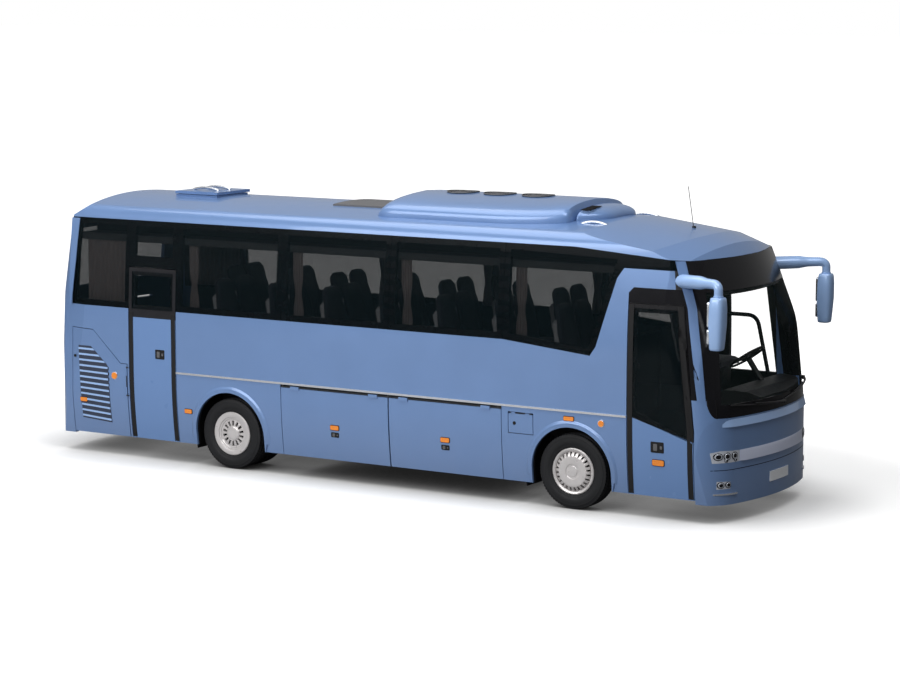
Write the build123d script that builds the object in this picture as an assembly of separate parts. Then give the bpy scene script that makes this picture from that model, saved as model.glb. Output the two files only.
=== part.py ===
from build123d import *
from math import asin, cos, radians, sin, sqrt
import os

os.makedirs("parts", exist_ok=True)

# Overall sizes, in mm. X forward, Y left, Z up, ground at Z = 0.
WIDTH = 2400
WHEELBASE = 4660
FRONT_OVERHANG = 1960
REAR_OVERHANG = 2740
LENGTH = FRONT_OVERHANG + WHEELBASE + REAR_OVERHANG
HALF_WIDTH = WIDTH / 2
X_FRONT = LENGTH / 2
X_REAR = -LENGTH / 2
X_FRONT_AXLE = X_FRONT - FRONT_OVERHANG
X_REAR_AXLE = X_REAR + REAR_OVERHANG

# Heights of the body lines.
SKIRT_Z = 250
RAIL_Z = 1090
WAIST_Z = 1840
ROOF_Z = 3160
WINDOW_TOP_Z = ROOF_Z - 250
SCREEN_LIP_Z = WINDOW_TOP_Z - 95
DOOR_TOP_Z = WINDOW_TOP_Z - 570
FLOOR_Z = 1100
FLOOR_THICK = 40
WALL = 60
GLASS = 12
GAP = 8

# Curves of the body: sides, roof crown and the cove between them.
SIDE_TUCK_R = 6000
SIDE_LEAN_R = 10000
SIDE_LEAN_Z = 1600
CROWN_R = 5000
COVE_R = 180
REACH = 14000
OUTSIDE = HALF_WIDTH + 300
BEYOND = 320

# Body seams along X, right side. The left side mirrors what it shares.
REAR_SEAM_X = X_REAR + 340
REAR_DOOR_W = 710
REAR_DOOR_X1 = X_REAR_AXLE - 780
REAR_DOOR_X0 = REAR_DOOR_X1 - REAR_DOOR_W
LID_REAR_X = X_REAR_AXLE + 760
LID_FRONT_X = X_FRONT_AXLE - 880
LID_X = (LID_REAR_X, (LID_REAR_X + LID_FRONT_X) / 2, LID_FRONT_X)
CAP_SEAM_X = X_FRONT_AXLE
FRONT_DOOR_W = 800
FRONT_DOOR_X1 = X_FRONT - 460
FRONT_DOOR_X0 = FRONT_DOOR_X1 - FRONT_DOOR_W
BUMPER_Z = 590
PILLAR_Z = 1345
SCREEN_BASE_Z = 1150

# Wheels.
TYRE_R = 424
BEAD_R = 262
TYRE_W = 250
TYRE_OUT_Y = 1145
TWIN_PITCH = 285
AXLE_Z = TYRE_R
ARCH_R = 500
KINGPIN_Y = 800
KINGPIN_R = 22
TIE_ARM = 180
TIE_Y = KINGPIN_Y


def box(x0, x1, y0, y1, z0, z1):
    solid = Box(x1 - x0, y1 - y0, z1 - z0)
    return Pos((x0 + x1) / 2, (y0 + y1) / 2, (z0 + z1) / 2) * solid


def side_prism(outline, y0, y1):
    face = make_face(Polyline(*outline, close=True))
    return Pos(0, y1, 0) * Rot(90, 0, 0) * extrude(face, y1 - y0)


def rod_x(x0, x1, y, z, r):
    return Pos((x0 + x1) / 2, y, z) * Rot(0, 90, 0) * Cylinder(r, x1 - x0)


def rod_y(x, y0, y1, z, r):
    return Pos(x, (y0 + y1) / 2, z) * Rot(90, 0, 0) * Cylinder(r, y1 - y0)


def rod_z(x, y, z0, z1, r):
    return Pos(x, y, (z0 + z1) / 2) * Cylinder(r, z1 - z0)


def solids_of(shape):
    return list(shape.solids())


def fuse_all(pieces):
    whole = pieces[0]
    for piece in pieces[1:]:
        whole = whole + piece
    return whole


def save(node, *shapes):
    solids = []
    for shape in shapes:
        solids += solids_of(shape)
    whole = solids[0] if len(solids) == 1 else Compound(solids)
    export_step(whole, f"parts/{node}.step")


# The body solid: a cross-section carried along X, trimmed at each end by tilted plan prisms.
def sagitta(radius, reach):
    return radius - sqrt(radius**2 - reach**2)


def half_width(z):
    if z < RAIL_Z:
        return HALF_WIDTH - sagitta(SIDE_TUCK_R, RAIL_Z - z)
    if z > SIDE_LEAN_Z:
        return HALF_WIDTH - sagitta(SIDE_LEAN_R, z - SIDE_LEAN_Z)
    return HALF_WIDTH


# Each end is a fan of tilted plan prisms, one per straight length of the middle profile.
# Columns: x, z where the length starts, x, z where it ends, plan radius, corner radius, half width.
FRONT_FAN = (
    (X_FRONT, 100, X_FRONT, 1220, 3200, 420, HALF_WIDTH - 2),
    (X_FRONT, 1220, X_FRONT - 110, 2100, 3200, 420, HALF_WIDTH - 12),
    (X_FRONT - 110, 2100, X_FRONT - 414, SCREEN_LIP_Z + 5, 3200, 400, HALF_WIDTH - 45),
)
REAR_FAN = (
    (X_REAR, 100, X_REAR, 1500, 5200, 240, HALF_WIDTH - 2),
    (X_REAR, 1500, X_REAR + 40, 2200, 5200, 240, HALF_WIDTH - 15),
    (X_REAR + 40, 2200, X_REAR + 130, 2750, 5200, 240, HALF_WIDTH - 50),
)
# Brows over both ends, columns as above without corner and width.
FRONT_BROW = (
    (X_FRONT - 414, SCREEN_LIP_Z + 5, X_FRONT - 530, SCREEN_LIP_Z + 125, 3200),
    (X_FRONT - 530, SCREEN_LIP_Z + 125, X_FRONT - 780, SCREEN_LIP_Z + 215, 3300),
    (X_FRONT - 780, SCREEN_LIP_Z + 215, X_FRONT - 1780, ROOF_Z, 4200),
)
REAR_BROW = (
    (X_REAR + 130, 2750, X_REAR + 210, ROOF_Z - 210, 5200),
    (X_REAR + 210, ROOF_Z - 210, X_REAR + 300, ROOF_Z - 100, 5000),
    (X_REAR + 300, ROOF_Z - 100, X_REAR + 430, ROOF_Z - 30, 4600),
)


def brow_prism(row, inset):
    x0, z0, x1, z1, plan_r = row
    sense = 1 if x0 > 0 else -1
    run = sqrt((x1 - x0) ** 2 + (z1 - z0) ** 2)
    rise = ((x1 - x0) / run, (z1 - z0) / run)
    plane = Plane(origin=(x0, 0, z0), x_dir=(rise[1], 0, -rise[0]), z_dir=(rise[0], 0, rise[1]))
    nose = -sense * inset
    reach = HALF_WIDTH + 100
    edge = (nose - sense * sagitta(plan_r - inset, reach), reach)
    deep = (nose - sense * 5000, reach)
    with BuildSketch(plane) as sketch:
        with BuildLine():
            ThreePointArc(right_of(edge), (nose, 0), edge)
            Polyline(edge, deep, right_of(deep), right_of(edge))
        make_face()
    return extrude(sketch.sketch, 6000, both=True)


def plan_prism(row, inset):
    x0, z0, x1, z1, plan_r, corner_r, half = row
    sense = 1 if x0 > 0 else -1
    run = sqrt((x1 - x0) ** 2 + (z1 - z0) ** 2)
    rise = ((x1 - x0) / run, (z1 - z0) / run)
    plane = Plane(origin=(x0, 0, z0), x_dir=(rise[1], 0, -rise[0]), z_dir=(rise[0], 0, rise[1]))
    nose = -sense * inset
    plan_r = plan_r - inset
    corner_r = corner_r - inset
    half = half - inset
    turn = asin((half - corner_r) / (plan_r - corner_r))
    hub = (nose - sense * (plan_r - (plan_r - corner_r) * cos(turn)), half - corner_r)
    on_face = (nose - sense * plan_r * (1 - cos(turn)), plan_r * sin(turn))
    last = radians(80)
    middle = (turn + last) / 2
    between = (hub[0] + sense * corner_r * cos(middle), hub[1] + corner_r * sin(middle))
    leave = (hub[0] + sense * corner_r * cos(last), hub[1] + corner_r * sin(last))
    back = (leave[0] - sense * REACH * sin(last), leave[1] + REACH * cos(last))
    with BuildSketch(plane) as sketch:
        with BuildLine():
            ThreePointArc(right_of(on_face), (nose, 0), on_face)
            ThreePointArc(on_face, between, leave)
            Polyline(leave, back, right_of(back), right_of(leave))
            ThreePointArc(right_of(leave), right_of(between), right_of(on_face))
        make_face()
    return extrude(sketch.sketch, REACH, both=True)


def right_of(point):
    return (point[0], -point[1])


def left_of(point):
    return (-point[0], point[1])


def circle_meet(first, first_r, second, second_r, side):
    gap_y = second[0] - first[0]
    gap_z = second[1] - first[1]
    apart = sqrt(gap_y**2 + gap_z**2)
    along = (first_r**2 - second_r**2 + apart**2) / (2 * apart)
    off = side * sqrt(first_r**2 - along**2)
    return (first[0] + (along * gap_y - off * gap_z) / apart,
            first[1] + (along * gap_z + off * gap_y) / apart)


def body_solid(inset):
    half = HALF_WIDTH - inset
    top = ROOF_Z - inset
    tuck_r = SIDE_TUCK_R - inset
    lean_r = SIDE_LEAN_R - inset
    cove_r = COVE_R - inset
    crown_r = CROWN_R - inset
    lean_hub = (half - lean_r, SIDE_LEAN_Z)
    crown_hub = (0, top - crown_r)
    cove_hub = circle_meet(lean_hub, lean_r - cove_r, crown_hub, crown_r - cove_r, 1)
    if cove_hub[1] < SIDE_LEAN_Z:
        cove_hub = circle_meet(lean_hub, lean_r - cove_r, crown_hub, crown_r - cove_r, -1)

    def outward(hub, point, radius):
        reach = sqrt((point[0] - hub[0]) ** 2 + (point[1] - hub[1]) ** 2)
        return (hub[0] + (point[0] - hub[0]) / reach * radius, hub[1] + (point[1] - hub[1]) / reach * radius)

    lean_end = outward(lean_hub, cove_hub, lean_r)
    cove_end = outward(crown_hub, cove_hub, crown_r)
    halfway = ((lean_end[0] + cove_end[0]) / 2, (lean_end[1] + cove_end[1]) / 2)
    cove_mid = outward(cove_hub, halfway, cove_r)
    lean_mid = outward(lean_hub, ((half + lean_end[0]) / 2, (SIDE_LEAN_Z + lean_end[1]) / 2), lean_r)
    low_z = 150
    tuck = (half - sagitta(tuck_r, RAIL_Z - low_z), low_z)
    tuck_mid = (half - sagitta(tuck_r, (RAIL_Z - low_z) / 2), (RAIL_Z + low_z) / 2)
    with BuildSketch(Plane.YZ.offset(X_REAR - BEYOND)) as sketch:
        with BuildLine():
            ThreePointArc(tuck, tuck_mid, (half, RAIL_Z))
            Line((half, RAIL_Z), (half, SIDE_LEAN_Z))
            ThreePointArc((half, SIDE_LEAN_Z), lean_mid, lean_end)
            ThreePointArc(lean_end, cove_mid, cove_end)
            ThreePointArc(cove_end, (0, top), left_of(cove_end))
            ThreePointArc(left_of(cove_end), left_of(cove_mid), left_of(lean_end))
            ThreePointArc(left_of(lean_end), left_of(lean_mid), (-half, SIDE_LEAN_Z))
            Line((-half, SIDE_LEAN_Z), (-half, RAIL_Z))
            ThreePointArc((-half, RAIL_Z), left_of(tuck_mid), left_of(tuck))
            Line(left_of(tuck), tuck)
        make_face()
    body = extrude(sketch.sketch, LENGTH + 2 * BEYOND)
    for row in FRONT_FAN + REAR_FAN:
        body = body & plan_prism(row, inset)
    return body


outer = body_solid(0)
behind_glass = body_solid(GLASS)
inner = body_solid(WALL)
CURTAIN_ROOM = 5
seated = body_solid(WALL + CURTAIN_ROOM)
shell = outer - inner
glass_shell = outer - behind_glass
frame_shell = behind_glass - inner

RIGHT = (-OUTSIDE, -HALF_WIDTH / 2)
LEFT = (HALF_WIDTH / 2, OUTSIDE)
HIGH = ROOF_Z + 240


def side_cut(stock, outline, side=RIGHT):
    return stock & side_prism(outline, side[0], side[1])


# Roof, front cap and pillars.
CAP_FRONT_X = FRONT_DOOR_X1 - 170
cap_line = ((CAP_SEAM_X, WINDOW_TOP_Z), (CAP_FRONT_X, SCREEN_LIP_Z), (X_FRONT + 100, SCREEN_LIP_Z))
cap_region = side_prism(cap_line + ((X_FRONT + 100, HIGH), (CAP_SEAM_X, HIGH)), -OUTSIDE, OUTSIDE)
cap_out = outer & cap_region
cap_in = inner & cap_region
for row in FRONT_BROW:
    cap_out = cap_out & brow_prism(row, 0)
    cap_in = cap_in & brow_prism(row, WALL)
cap = cap_out - cap_in
ROOF_TAIL_X = REAR_SEAM_X + 440
roof_region = box(ROOF_TAIL_X, CAP_SEAM_X, -OUTSIDE, OUTSIDE, WINDOW_TOP_Z, HIGH)
tail_region = box(REAR_SEAM_X, ROOF_TAIL_X, -OUTSIDE, OUTSIDE, WINDOW_TOP_Z, HIGH)
tail_out = outer & tail_region & brow_prism(REAR_BROW[2], 0)
tail_in = inner & tail_region & brow_prism(REAR_BROW[2], WALL)

HATCH_X = REAR_DOOR_X1 - 330
HATCH_L = 620
HATCH_W = 640
HATCH_RIM = 30
hatch_x0 = HATCH_X - HATCH_L / 2
hatch_x1 = HATCH_X + HATCH_L / 2
hatch_hole = box(hatch_x0 + HATCH_RIM, hatch_x1 - HATCH_RIM, -HATCH_W / 2 + HATCH_RIM,
                 HATCH_W / 2 - HATCH_RIM, WINDOW_TOP_Z - 10, HIGH)
HATCH_Z = ROOF_Z + 14
hatch_curb = box(hatch_x0, hatch_x1, -HATCH_W / 2, HATCH_W / 2, ROOF_Z - 30, HATCH_Z)
roof = (shell & roof_region) + (tail_out - tail_in) + hatch_curb - hatch_hole
HATCH_T = 34
HINGE_PIN_R = 5
HINGE_FREE = 0.5
CURL_R = 10
hatch_axis = (hatch_x0 - CURL_R, HATCH_Z + GAP + CURL_R)
hatch = box(hatch_x0 + 2, hatch_x1 + 20, -HATCH_W / 2 - 20, HATCH_W / 2 + 20, HATCH_Z + GAP,
            HATCH_Z + GAP + HATCH_T)
hatch_curls = ((-220, -140), (140, 220))
for y0, y1 in hatch_curls:
    hatch = hatch + box(hatch_axis[0] - CURL_R, hatch_x0 + 4, y0, y1, hatch_axis[1] - CURL_R,
                        hatch_axis[1] + CURL_R)
    hatch = hatch - rod_y(hatch_axis[0], y0 - 1, y1 + 1, hatch_axis[1], HINGE_PIN_R + HINGE_FREE)
hatch_rod = rod_y(hatch_axis[0], -240, 240, hatch_axis[1], HINGE_PIN_R)
for y0, y1 in ((-240, -226), (226, 240)):
    lug = box(hatch_axis[0] - 14, hatch_axis[0] + 2, y0, y1, ROOF_Z - 30, hatch_axis[1] + 3)
    hatch_rod = hatch_rod + (lug - outer)
save("roof_panel", roof)
save("roof_front_cap", cap)
save("roof_hatch", hatch)

# Front: windscreen, pillars, front panel, bumper, lamps.
SCREEN_HALF = 1085
SCREEN_SIDE_TOP = 1000
screen_outline = ((-SCREEN_HALF, SCREEN_BASE_Z), (SCREEN_HALF, SCREEN_BASE_Z),
                  (SCREEN_SIDE_TOP, SCREEN_LIP_Z), (-SCREEN_SIDE_TOP, SCREEN_LIP_Z))


def front_prism(outline, x0, x1):
    face = make_face(Polyline(*outline, close=True))
    return Plane.YZ.offset(x0).location * extrude(face, x1 - x0)


FRONT_LINE_X = FRONT_DOOR_X1 + GAP
DOOR_RAKE_Z = 1000
DOOR_FRONT_TOP_X = FRONT_DOOR_X1 - 153
rake = (FRONT_DOOR_X1 - DOOR_FRONT_TOP_X) / (DOOR_TOP_Z - DOOR_RAKE_Z)
front_line = ((FRONT_LINE_X, 100), (FRONT_LINE_X, DOOR_RAKE_Z),
              (FRONT_LINE_X - rake * (SCREEN_LIP_Z - DOOR_RAKE_Z), SCREEN_LIP_Z))


def rake_x(z):
    return FRONT_LINE_X - rake * max(z - DOOR_RAKE_Z, 0)


front_region = side_prism(front_line + ((X_FRONT + 100, SCREEN_LIP_Z), (X_FRONT + 100, 100)), -OUTSIDE,
                          OUTSIDE)
screen_hole = front_prism(screen_outline, FRONT_DOOR_X1 - 70, X_FRONT + 100)
front_shell = shell & front_region
pillar_zone = box(CAP_SEAM_X, X_FRONT + 100, -OUTSIDE, OUTSIDE, PILLAR_Z, SCREEN_LIP_Z)
panel_zone = box(CAP_SEAM_X, X_FRONT + 100, -OUTSIDE, OUTSIDE, BUMPER_Z, PILLAR_Z)
bumper_zone = box(CAP_SEAM_X, X_FRONT + 100, -OUTSIDE, OUTSIDE, 210, BUMPER_Z)
# Lamp outlines seen from the front, right side: head lamp cluster, fog lamp.
head_outline = ((-1110, 668), (-800, 668), (-780, 700), (-800, 790), (-1050, 800), (-1125, 780))
fog_outline = ((-1075, 385), (-930, 385), (-930, 462), (-1075, 470))
front_panel = (front_shell & panel_zone) - screen_hole
front_bumper = front_shell & bumper_zone
lamp_solids = []
for outline in (head_outline, fog_outline):
    for side in (outline, tuple(left_of(point) for point in outline)):
        lamp = front_prism(side, X_FRONT - 780, X_FRONT + 100)
        lamp_solids += solids_of(front_shell & lamp)
        front_panel = front_panel - lamp
        front_bumper = front_bumper - lamp
save("windscreen", glass_shell & front_region & screen_hole)
save("front_pillars", (front_shell & pillar_zone) - screen_hole)
save("front_panel", front_panel)
save("front_bumper", front_bumper)
save("head_lamps", *lamp_solids)

# Window band: posts behind, panes flush outside.
BAND_LOW_Z = WAIST_Z - 105
ARCH_TOP_Z = WINDOW_TOP_Z - 198
BAND_SLANT = ((FRONT_DOOR_X0 - 466, BAND_LOW_Z), (FRONT_DOOR_X0 - 393, WAIST_Z),
              (FRONT_DOOR_X0 - 158, ARCH_TOP_Z - 112), (FRONT_DOOR_X0 - 80, ARCH_TOP_Z))
DROP_X = LID_X[2] + 10
pillar_front_x = rake_x(ARCH_TOP_Z)
lip_x = rake_x(SCREEN_LIP_Z)


def top_at(x):
    if x < CAP_SEAM_X:
        return WINDOW_TOP_Z
    return WINDOW_TOP_Z - (x - CAP_SEAM_X) / (CAP_FRONT_X - CAP_SEAM_X) * (WINDOW_TOP_Z - SCREEN_LIP_Z)


pane_cuts = [REAR_DOOR_X1, LID_X[0], LID_X[1], LID_X[2]]
seam = GAP / 4
panes = {
    "quarter": ((REAR_SEAM_X, WAIST_Z), (REAR_DOOR_X0 - seam, WAIST_Z), (REAR_DOOR_X0 - seam, WINDOW_TOP_Z),
                (REAR_SEAM_X, WINDOW_TOP_Z)),
    "over_door": ((REAR_DOOR_X0 + seam, DOOR_TOP_Z + GAP), (REAR_DOOR_X1 - seam, DOOR_TOP_Z + GAP),
                  (REAR_DOOR_X1 - seam, WINDOW_TOP_Z), (REAR_DOOR_X0 + seam, WINDOW_TOP_Z)),
}
for index in range(3):
    x0 = pane_cuts[index] + seam
    x1 = pane_cuts[index + 1] - seam
    panes[f"mid{index}"] = ((x0, WAIST_Z), (x1, WAIST_Z), (x1, WINDOW_TOP_Z), (x0, WINDOW_TOP_Z))
front_pane = ((LID_X[2] + seam, WAIST_Z), (DROP_X, WAIST_Z)) + BAND_SLANT
front_pane += ((pillar_front_x, ARCH_TOP_Z), (lip_x, SCREEN_LIP_Z), (lip_x, top_at(lip_x)),
               (CAP_SEAM_X, WINDOW_TOP_Z), (LID_X[2] + seam, WINDOW_TOP_Z))
panes["front"] = front_pane
POST = 70
openings_xz = [
    ((REAR_SEAM_X + 60, WAIST_Z + POST), (REAR_DOOR_X0 - POST, WAIST_Z + POST),
     (REAR_DOOR_X0 - POST, WINDOW_TOP_Z - POST), (REAR_SEAM_X + 130, WINDOW_TOP_Z - POST)),
    ((REAR_DOOR_X0 + POST, DOOR_TOP_Z + 2 * POST), (REAR_DOOR_X1 - POST, DOOR_TOP_Z + 2 * POST),
     (REAR_DOOR_X1 - POST, WINDOW_TOP_Z - POST), (REAR_DOOR_X0 + POST, WINDOW_TOP_Z - POST)),
]
for index in range(3):
    x0 = pane_cuts[index] + POST
    x1 = pane_cuts[index + 1] - POST
    openings_xz.append(((x0, WAIST_Z + POST), (x1, WAIST_Z + POST),
                        (x1, WINDOW_TOP_Z - POST), (x0, WINDOW_TOP_Z - POST)))
openings_xz.append(((LID_X[2] + POST, WAIST_Z + POST), (DROP_X + POST, WAIST_Z + POST),
                    (FRONT_DOOR_X0 - 500, BAND_LOW_Z + POST), (FRONT_DOOR_X0 - 470, WAIST_Z + 30),
                    (FRONT_DOOR_X0 - 230, ARCH_TOP_Z - 92), (FRONT_DOOR_X0 - 170, WINDOW_TOP_Z - 110),
                    (LID_X[2] + POST, WINDOW_TOP_Z - POST)))
right_glass = []
right_frame = []
for name, outline in panes.items():
    right_glass += solids_of(side_cut(glass_shell, outline))
frame_outline = ((REAR_SEAM_X, WAIST_Z), (REAR_DOOR_X0, WAIST_Z), (REAR_DOOR_X0, DOOR_TOP_Z + GAP),
                 (REAR_DOOR_X1, DOOR_TOP_Z + GAP), (REAR_DOOR_X1, WAIST_Z), (DROP_X, WAIST_Z)) + BAND_SLANT
frame_outline += ((pillar_front_x, ARCH_TOP_Z), (lip_x, SCREEN_LIP_Z), (lip_x, top_at(lip_x)),
                  (CAP_SEAM_X, WINDOW_TOP_Z), (REAR_SEAM_X, WINDOW_TOP_Z))
frame_right = side_cut(frame_shell, frame_outline)
for outline in openings_xz:
    frame_right = frame_right - side_prism(outline, *RIGHT)

left_panes = dict(panes)
left_panes["over_door"] = ((REAR_DOOR_X0 + seam, WAIST_Z), (REAR_DOOR_X1 - seam, WAIST_Z),
                           (REAR_DOOR_X1 - seam, WINDOW_TOP_Z), (REAR_DOOR_X0 + seam, WINDOW_TOP_Z))
left_glass = []
for name, outline in left_panes.items():
    left_glass += solids_of(side_cut(glass_shell, outline, LEFT))
left_frame_outline = (frame_outline[0],) + frame_outline[5:]
frame_left = side_cut(frame_shell, left_frame_outline, LEFT)
for index, outline in enumerate(openings_xz):
    if index == 1:
        outline = ((REAR_DOOR_X0 + POST, WAIST_Z + POST), (REAR_DOOR_X1 - POST, WAIST_Z + POST)) + outline[2:]
    frame_left = frame_left - side_prism(outline, *LEFT)
DRIVER_WINDOW_Z = 1300
DRIVER_TOP_Z = DOOR_TOP_Z + 140


def driver_outline(inset):
    low = DRIVER_WINDOW_Z + inset
    top = DRIVER_TOP_Z - inset
    rear = FRONT_DOOR_X0 + 30 + inset
    return ((rear, low), (rake_x(low) - 48 - inset, low), (rake_x(top) - 48 - inset, top),
            (rear + 50, top), (rear, top - 80))


driver_pane = driver_outline(0)
left_glass += solids_of(side_cut(glass_shell, driver_pane, LEFT))

# Side panels under the windows, with the surround that rises around the front door.
post_x = FRONT_DOOR_X0 - GAP
surround_inner_z = DOOR_TOP_Z + 175
surround = BAND_SLANT + ((pillar_front_x, ARCH_TOP_Z), (rake_x(surround_inner_z), surround_inner_z),
                         (post_x + 60, surround_inner_z), (post_x, surround_inner_z - 60),
                         (post_x, BAND_LOW_Z))
waist_right = ((REAR_DOOR_X1 + GAP, RAIL_Z), (post_x, RAIL_Z), (post_x, BAND_LOW_Z), BAND_SLANT[0],
               (DROP_X, WAIST_Z),
               (REAR_DOOR_X1 + GAP, WAIST_Z))
FLAP_FRONT_X = REAR_DOOR_X0 - 40
FLAP_LOW_TOP_Z = RAIL_Z + 60
FLAP_TOP_Z = WAIST_Z - 290
FLAP_TOP = ((REAR_SEAM_X, FLAP_TOP_Z), (REAR_SEAM_X + 350, FLAP_TOP_Z - 10),
            (FLAP_FRONT_X - 100, FLAP_LOW_TOP_Z), (FLAP_FRONT_X, FLAP_LOW_TOP_Z))
rear_right = ((REAR_DOOR_X0 - GAP, SKIRT_Z), (REAR_DOOR_X0 - GAP, WAIST_Z), (REAR_SEAM_X, WAIST_Z))
rear_right += tuple((x, z + GAP) for x, z in FLAP_TOP[:2])
rear_right += ((FLAP_TOP[2][0] + GAP / 2, FLAP_LOW_TOP_Z + GAP), (FLAP_FRONT_X + GAP, FLAP_LOW_TOP_Z + GAP),
               (FLAP_FRONT_X + GAP, SKIRT_Z))
waist_left = ((REAR_SEAM_X, RAIL_Z), (rake_x(RAIL_Z), RAIL_Z), (rake_x(surround_inner_z), surround_inner_z),
              (post_x, surround_inner_z), (post_x, BAND_LOW_Z), BAND_SLANT[0],
              (DROP_X, WAIST_Z),
              (REAR_SEAM_X, WAIST_Z))
surround_left = BAND_SLANT + ((pillar_front_x, ARCH_TOP_Z), (rake_x(surround_inner_z), surround_inner_z),
                              (post_x, surround_inner_z), (post_x, BAND_LOW_Z))
driver_hole = driver_outline(50)
left_wall = side_cut(shell, waist_left, LEFT) - side_prism(driver_hole, *LEFT)
left_wall = left_wall - (glass_shell & side_prism(driver_pane, *LEFT))
save("side_panels", side_cut(shell, waist_right), side_cut(shell, rear_right), left_wall)
left_surround = side_cut(shell, surround_left, LEFT)
save("door_surround", side_cut(shell, surround), left_surround)
transom = ((post_x + 2, DOOR_TOP_Z + GAP), (FRONT_LINE_X - rake * (DOOR_TOP_Z + GAP - DOOR_RAKE_Z),
                                            DOOR_TOP_Z + GAP),
           (FRONT_LINE_X - rake * (surround_inner_z - DOOR_RAKE_Z), surround_inner_z),
           (post_x + 60, surround_inner_z),
           (post_x + 2, surround_inner_z - 58))
save("window_frames", frame_right, frame_left, side_cut(shell, transom))

# Skirts with the wheel arches.
HINGE_Z = RAIL_Z - 24
arch_front = rod_y(X_FRONT_AXLE, -OUTSIDE, OUTSIDE, AXLE_Z, ARCH_R)
arch_rear = rod_y(X_REAR_AXLE, -OUTSIDE, OUTSIDE, AXLE_Z, ARCH_R)
arch_slots = fuse_all([arch_front, arch_rear,
                       box(X_FRONT_AXLE - ARCH_R, X_FRONT_AXLE + ARCH_R, -OUTSIDE, OUTSIDE, 0, AXLE_Z),
                       box(X_REAR_AXLE - ARCH_R, X_REAR_AXLE + ARCH_R, -OUTSIDE, OUTSIDE, 0, AXLE_Z)])
LIP_R = ARCH_R + 36
LIP_OUT = 14
lip_shell = body_solid(-LIP_OUT) - inner
above_skirt = box(X_REAR, X_FRONT, -OUTSIDE, OUTSIDE, SKIRT_Z, RAIL_Z)
lips = lip_shell & above_skirt & (rod_y(X_FRONT_AXLE, -OUTSIDE, OUTSIDE, AXLE_Z, LIP_R)
                                  + rod_y(X_REAR_AXLE, -OUTSIDE, OUTSIDE, AXLE_Z, LIP_R))
FILLER = (LID_X[2] + 90, LID_X[2] + 400, RAIL_Z - 290, RAIL_Z - 70)
FILLER_TOP_Z = FILLER[3] + 17
filler_hole = side_prism(((FILLER[0] - GAP, FILLER[2] - GAP), (FILLER[1] + GAP, FILLER[2] - GAP),
                          (FILLER[1] + GAP, FILLER_TOP_Z), (FILLER[0] - GAP, FILLER_TOP_Z)), *RIGHT)
skirt_front = ((LID_X[2], SKIRT_Z), (post_x, SKIRT_Z), (post_x, RAIL_Z), (LID_X[2], RAIL_Z))
skirt_rear = ((REAR_DOOR_X1 + GAP, SKIRT_Z), (LID_X[0], SKIRT_Z), (LID_X[0], RAIL_Z),
              (REAR_DOOR_X1 + GAP, RAIL_Z))
skirt_front_left = ((LID_X[2], SKIRT_Z), (FRONT_LINE_X, SKIRT_Z), (FRONT_LINE_X, DOOR_RAKE_Z),
                    (rake_x(RAIL_Z), RAIL_Z),
                    (LID_X[2], RAIL_Z))
skirt_rear_left = ((REAR_SEAM_X, SKIRT_Z), (LID_X[0], SKIRT_Z), (LID_X[0], RAIL_Z), (REAR_SEAM_X, RAIL_Z))
skirts = ((skirt_front, RIGHT), (skirt_rear, RIGHT), (skirt_front_left, LEFT), (skirt_rear_left, LEFT))
arch_panels = []
for outline, side in skirts:
    panel = side_cut(shell, outline, side) + (lips & side_prism(outline, side[0], side[1])) - arch_slots
    arch_panels.append(panel - filler_hole)
save("arch_panels", *arch_panels)

# Luggage lids, each hung by two curls on a hinge rod under the rail.
HINGE_Y = HALF_WIDTH + 2
rods = [hatch_rod]


def lid(x0, x1, sign):
    side = RIGHT if sign < 0 else LEFT
    top = HINGE_Z - CURL_R - 2
    panel = side_cut(shell, ((x0, SKIRT_Z), (x1, SKIRT_Z), (x1, top), (x0, top)), side)
    for middle in (x0 + 200, x1 - 200):
        ends = sorted((sign * (HINGE_Y + CURL_R), sign * (HINGE_Y - CURL_R)))
        knuckle_block = box(middle - 60, middle + 60, ends[0], ends[1], top - 20, HINGE_Z + CURL_R)
        panel = panel + knuckle_block
    return panel - rod_x(x0, x1, sign * HINGE_Y, HINGE_Z, HINGE_PIN_R + HINGE_FREE)


lid_table = (("lid_right_rear", 0, -1), ("lid_right_front", 1, -1), ("lid_left_rear", 0, 1),
             ("lid_left_front", 1, 1))
for name, bay, sign in lid_table:
    save(name, lid(LID_X[bay] + GAP, LID_X[bay + 1] - GAP, sign))
for sign in (-1, 1):
    rod = rod_x(LID_X[0], LID_X[2], sign * HINGE_Y, HINGE_Z, HINGE_PIN_R)
    for x in (LID_X[0] + 40, LID_X[1], LID_X[2] - 40):
        ends = sorted((sign * (HINGE_Y + 4), sign * (HINGE_Y - 12)))
        rod = rod + box(x - 10, x + 10, ends[0], ends[1], HINGE_Z - 4, RAIL_Z)
    rods.append(rod)

# Bright rail along the foot of the waist panels.
rail_right = box(REAR_DOOR_X1 + GAP, post_x, -HALF_WIDTH - 12, -HALF_WIDTH, RAIL_Z + 2, RAIL_Z + 26)
rail_left = box(REAR_SEAM_X, post_x, HALF_WIDTH, HALF_WIDTH + 12, RAIL_Z + 2, RAIL_Z + 26)
save("side_rails", rail_right - outer, rail_left - outer)

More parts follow.
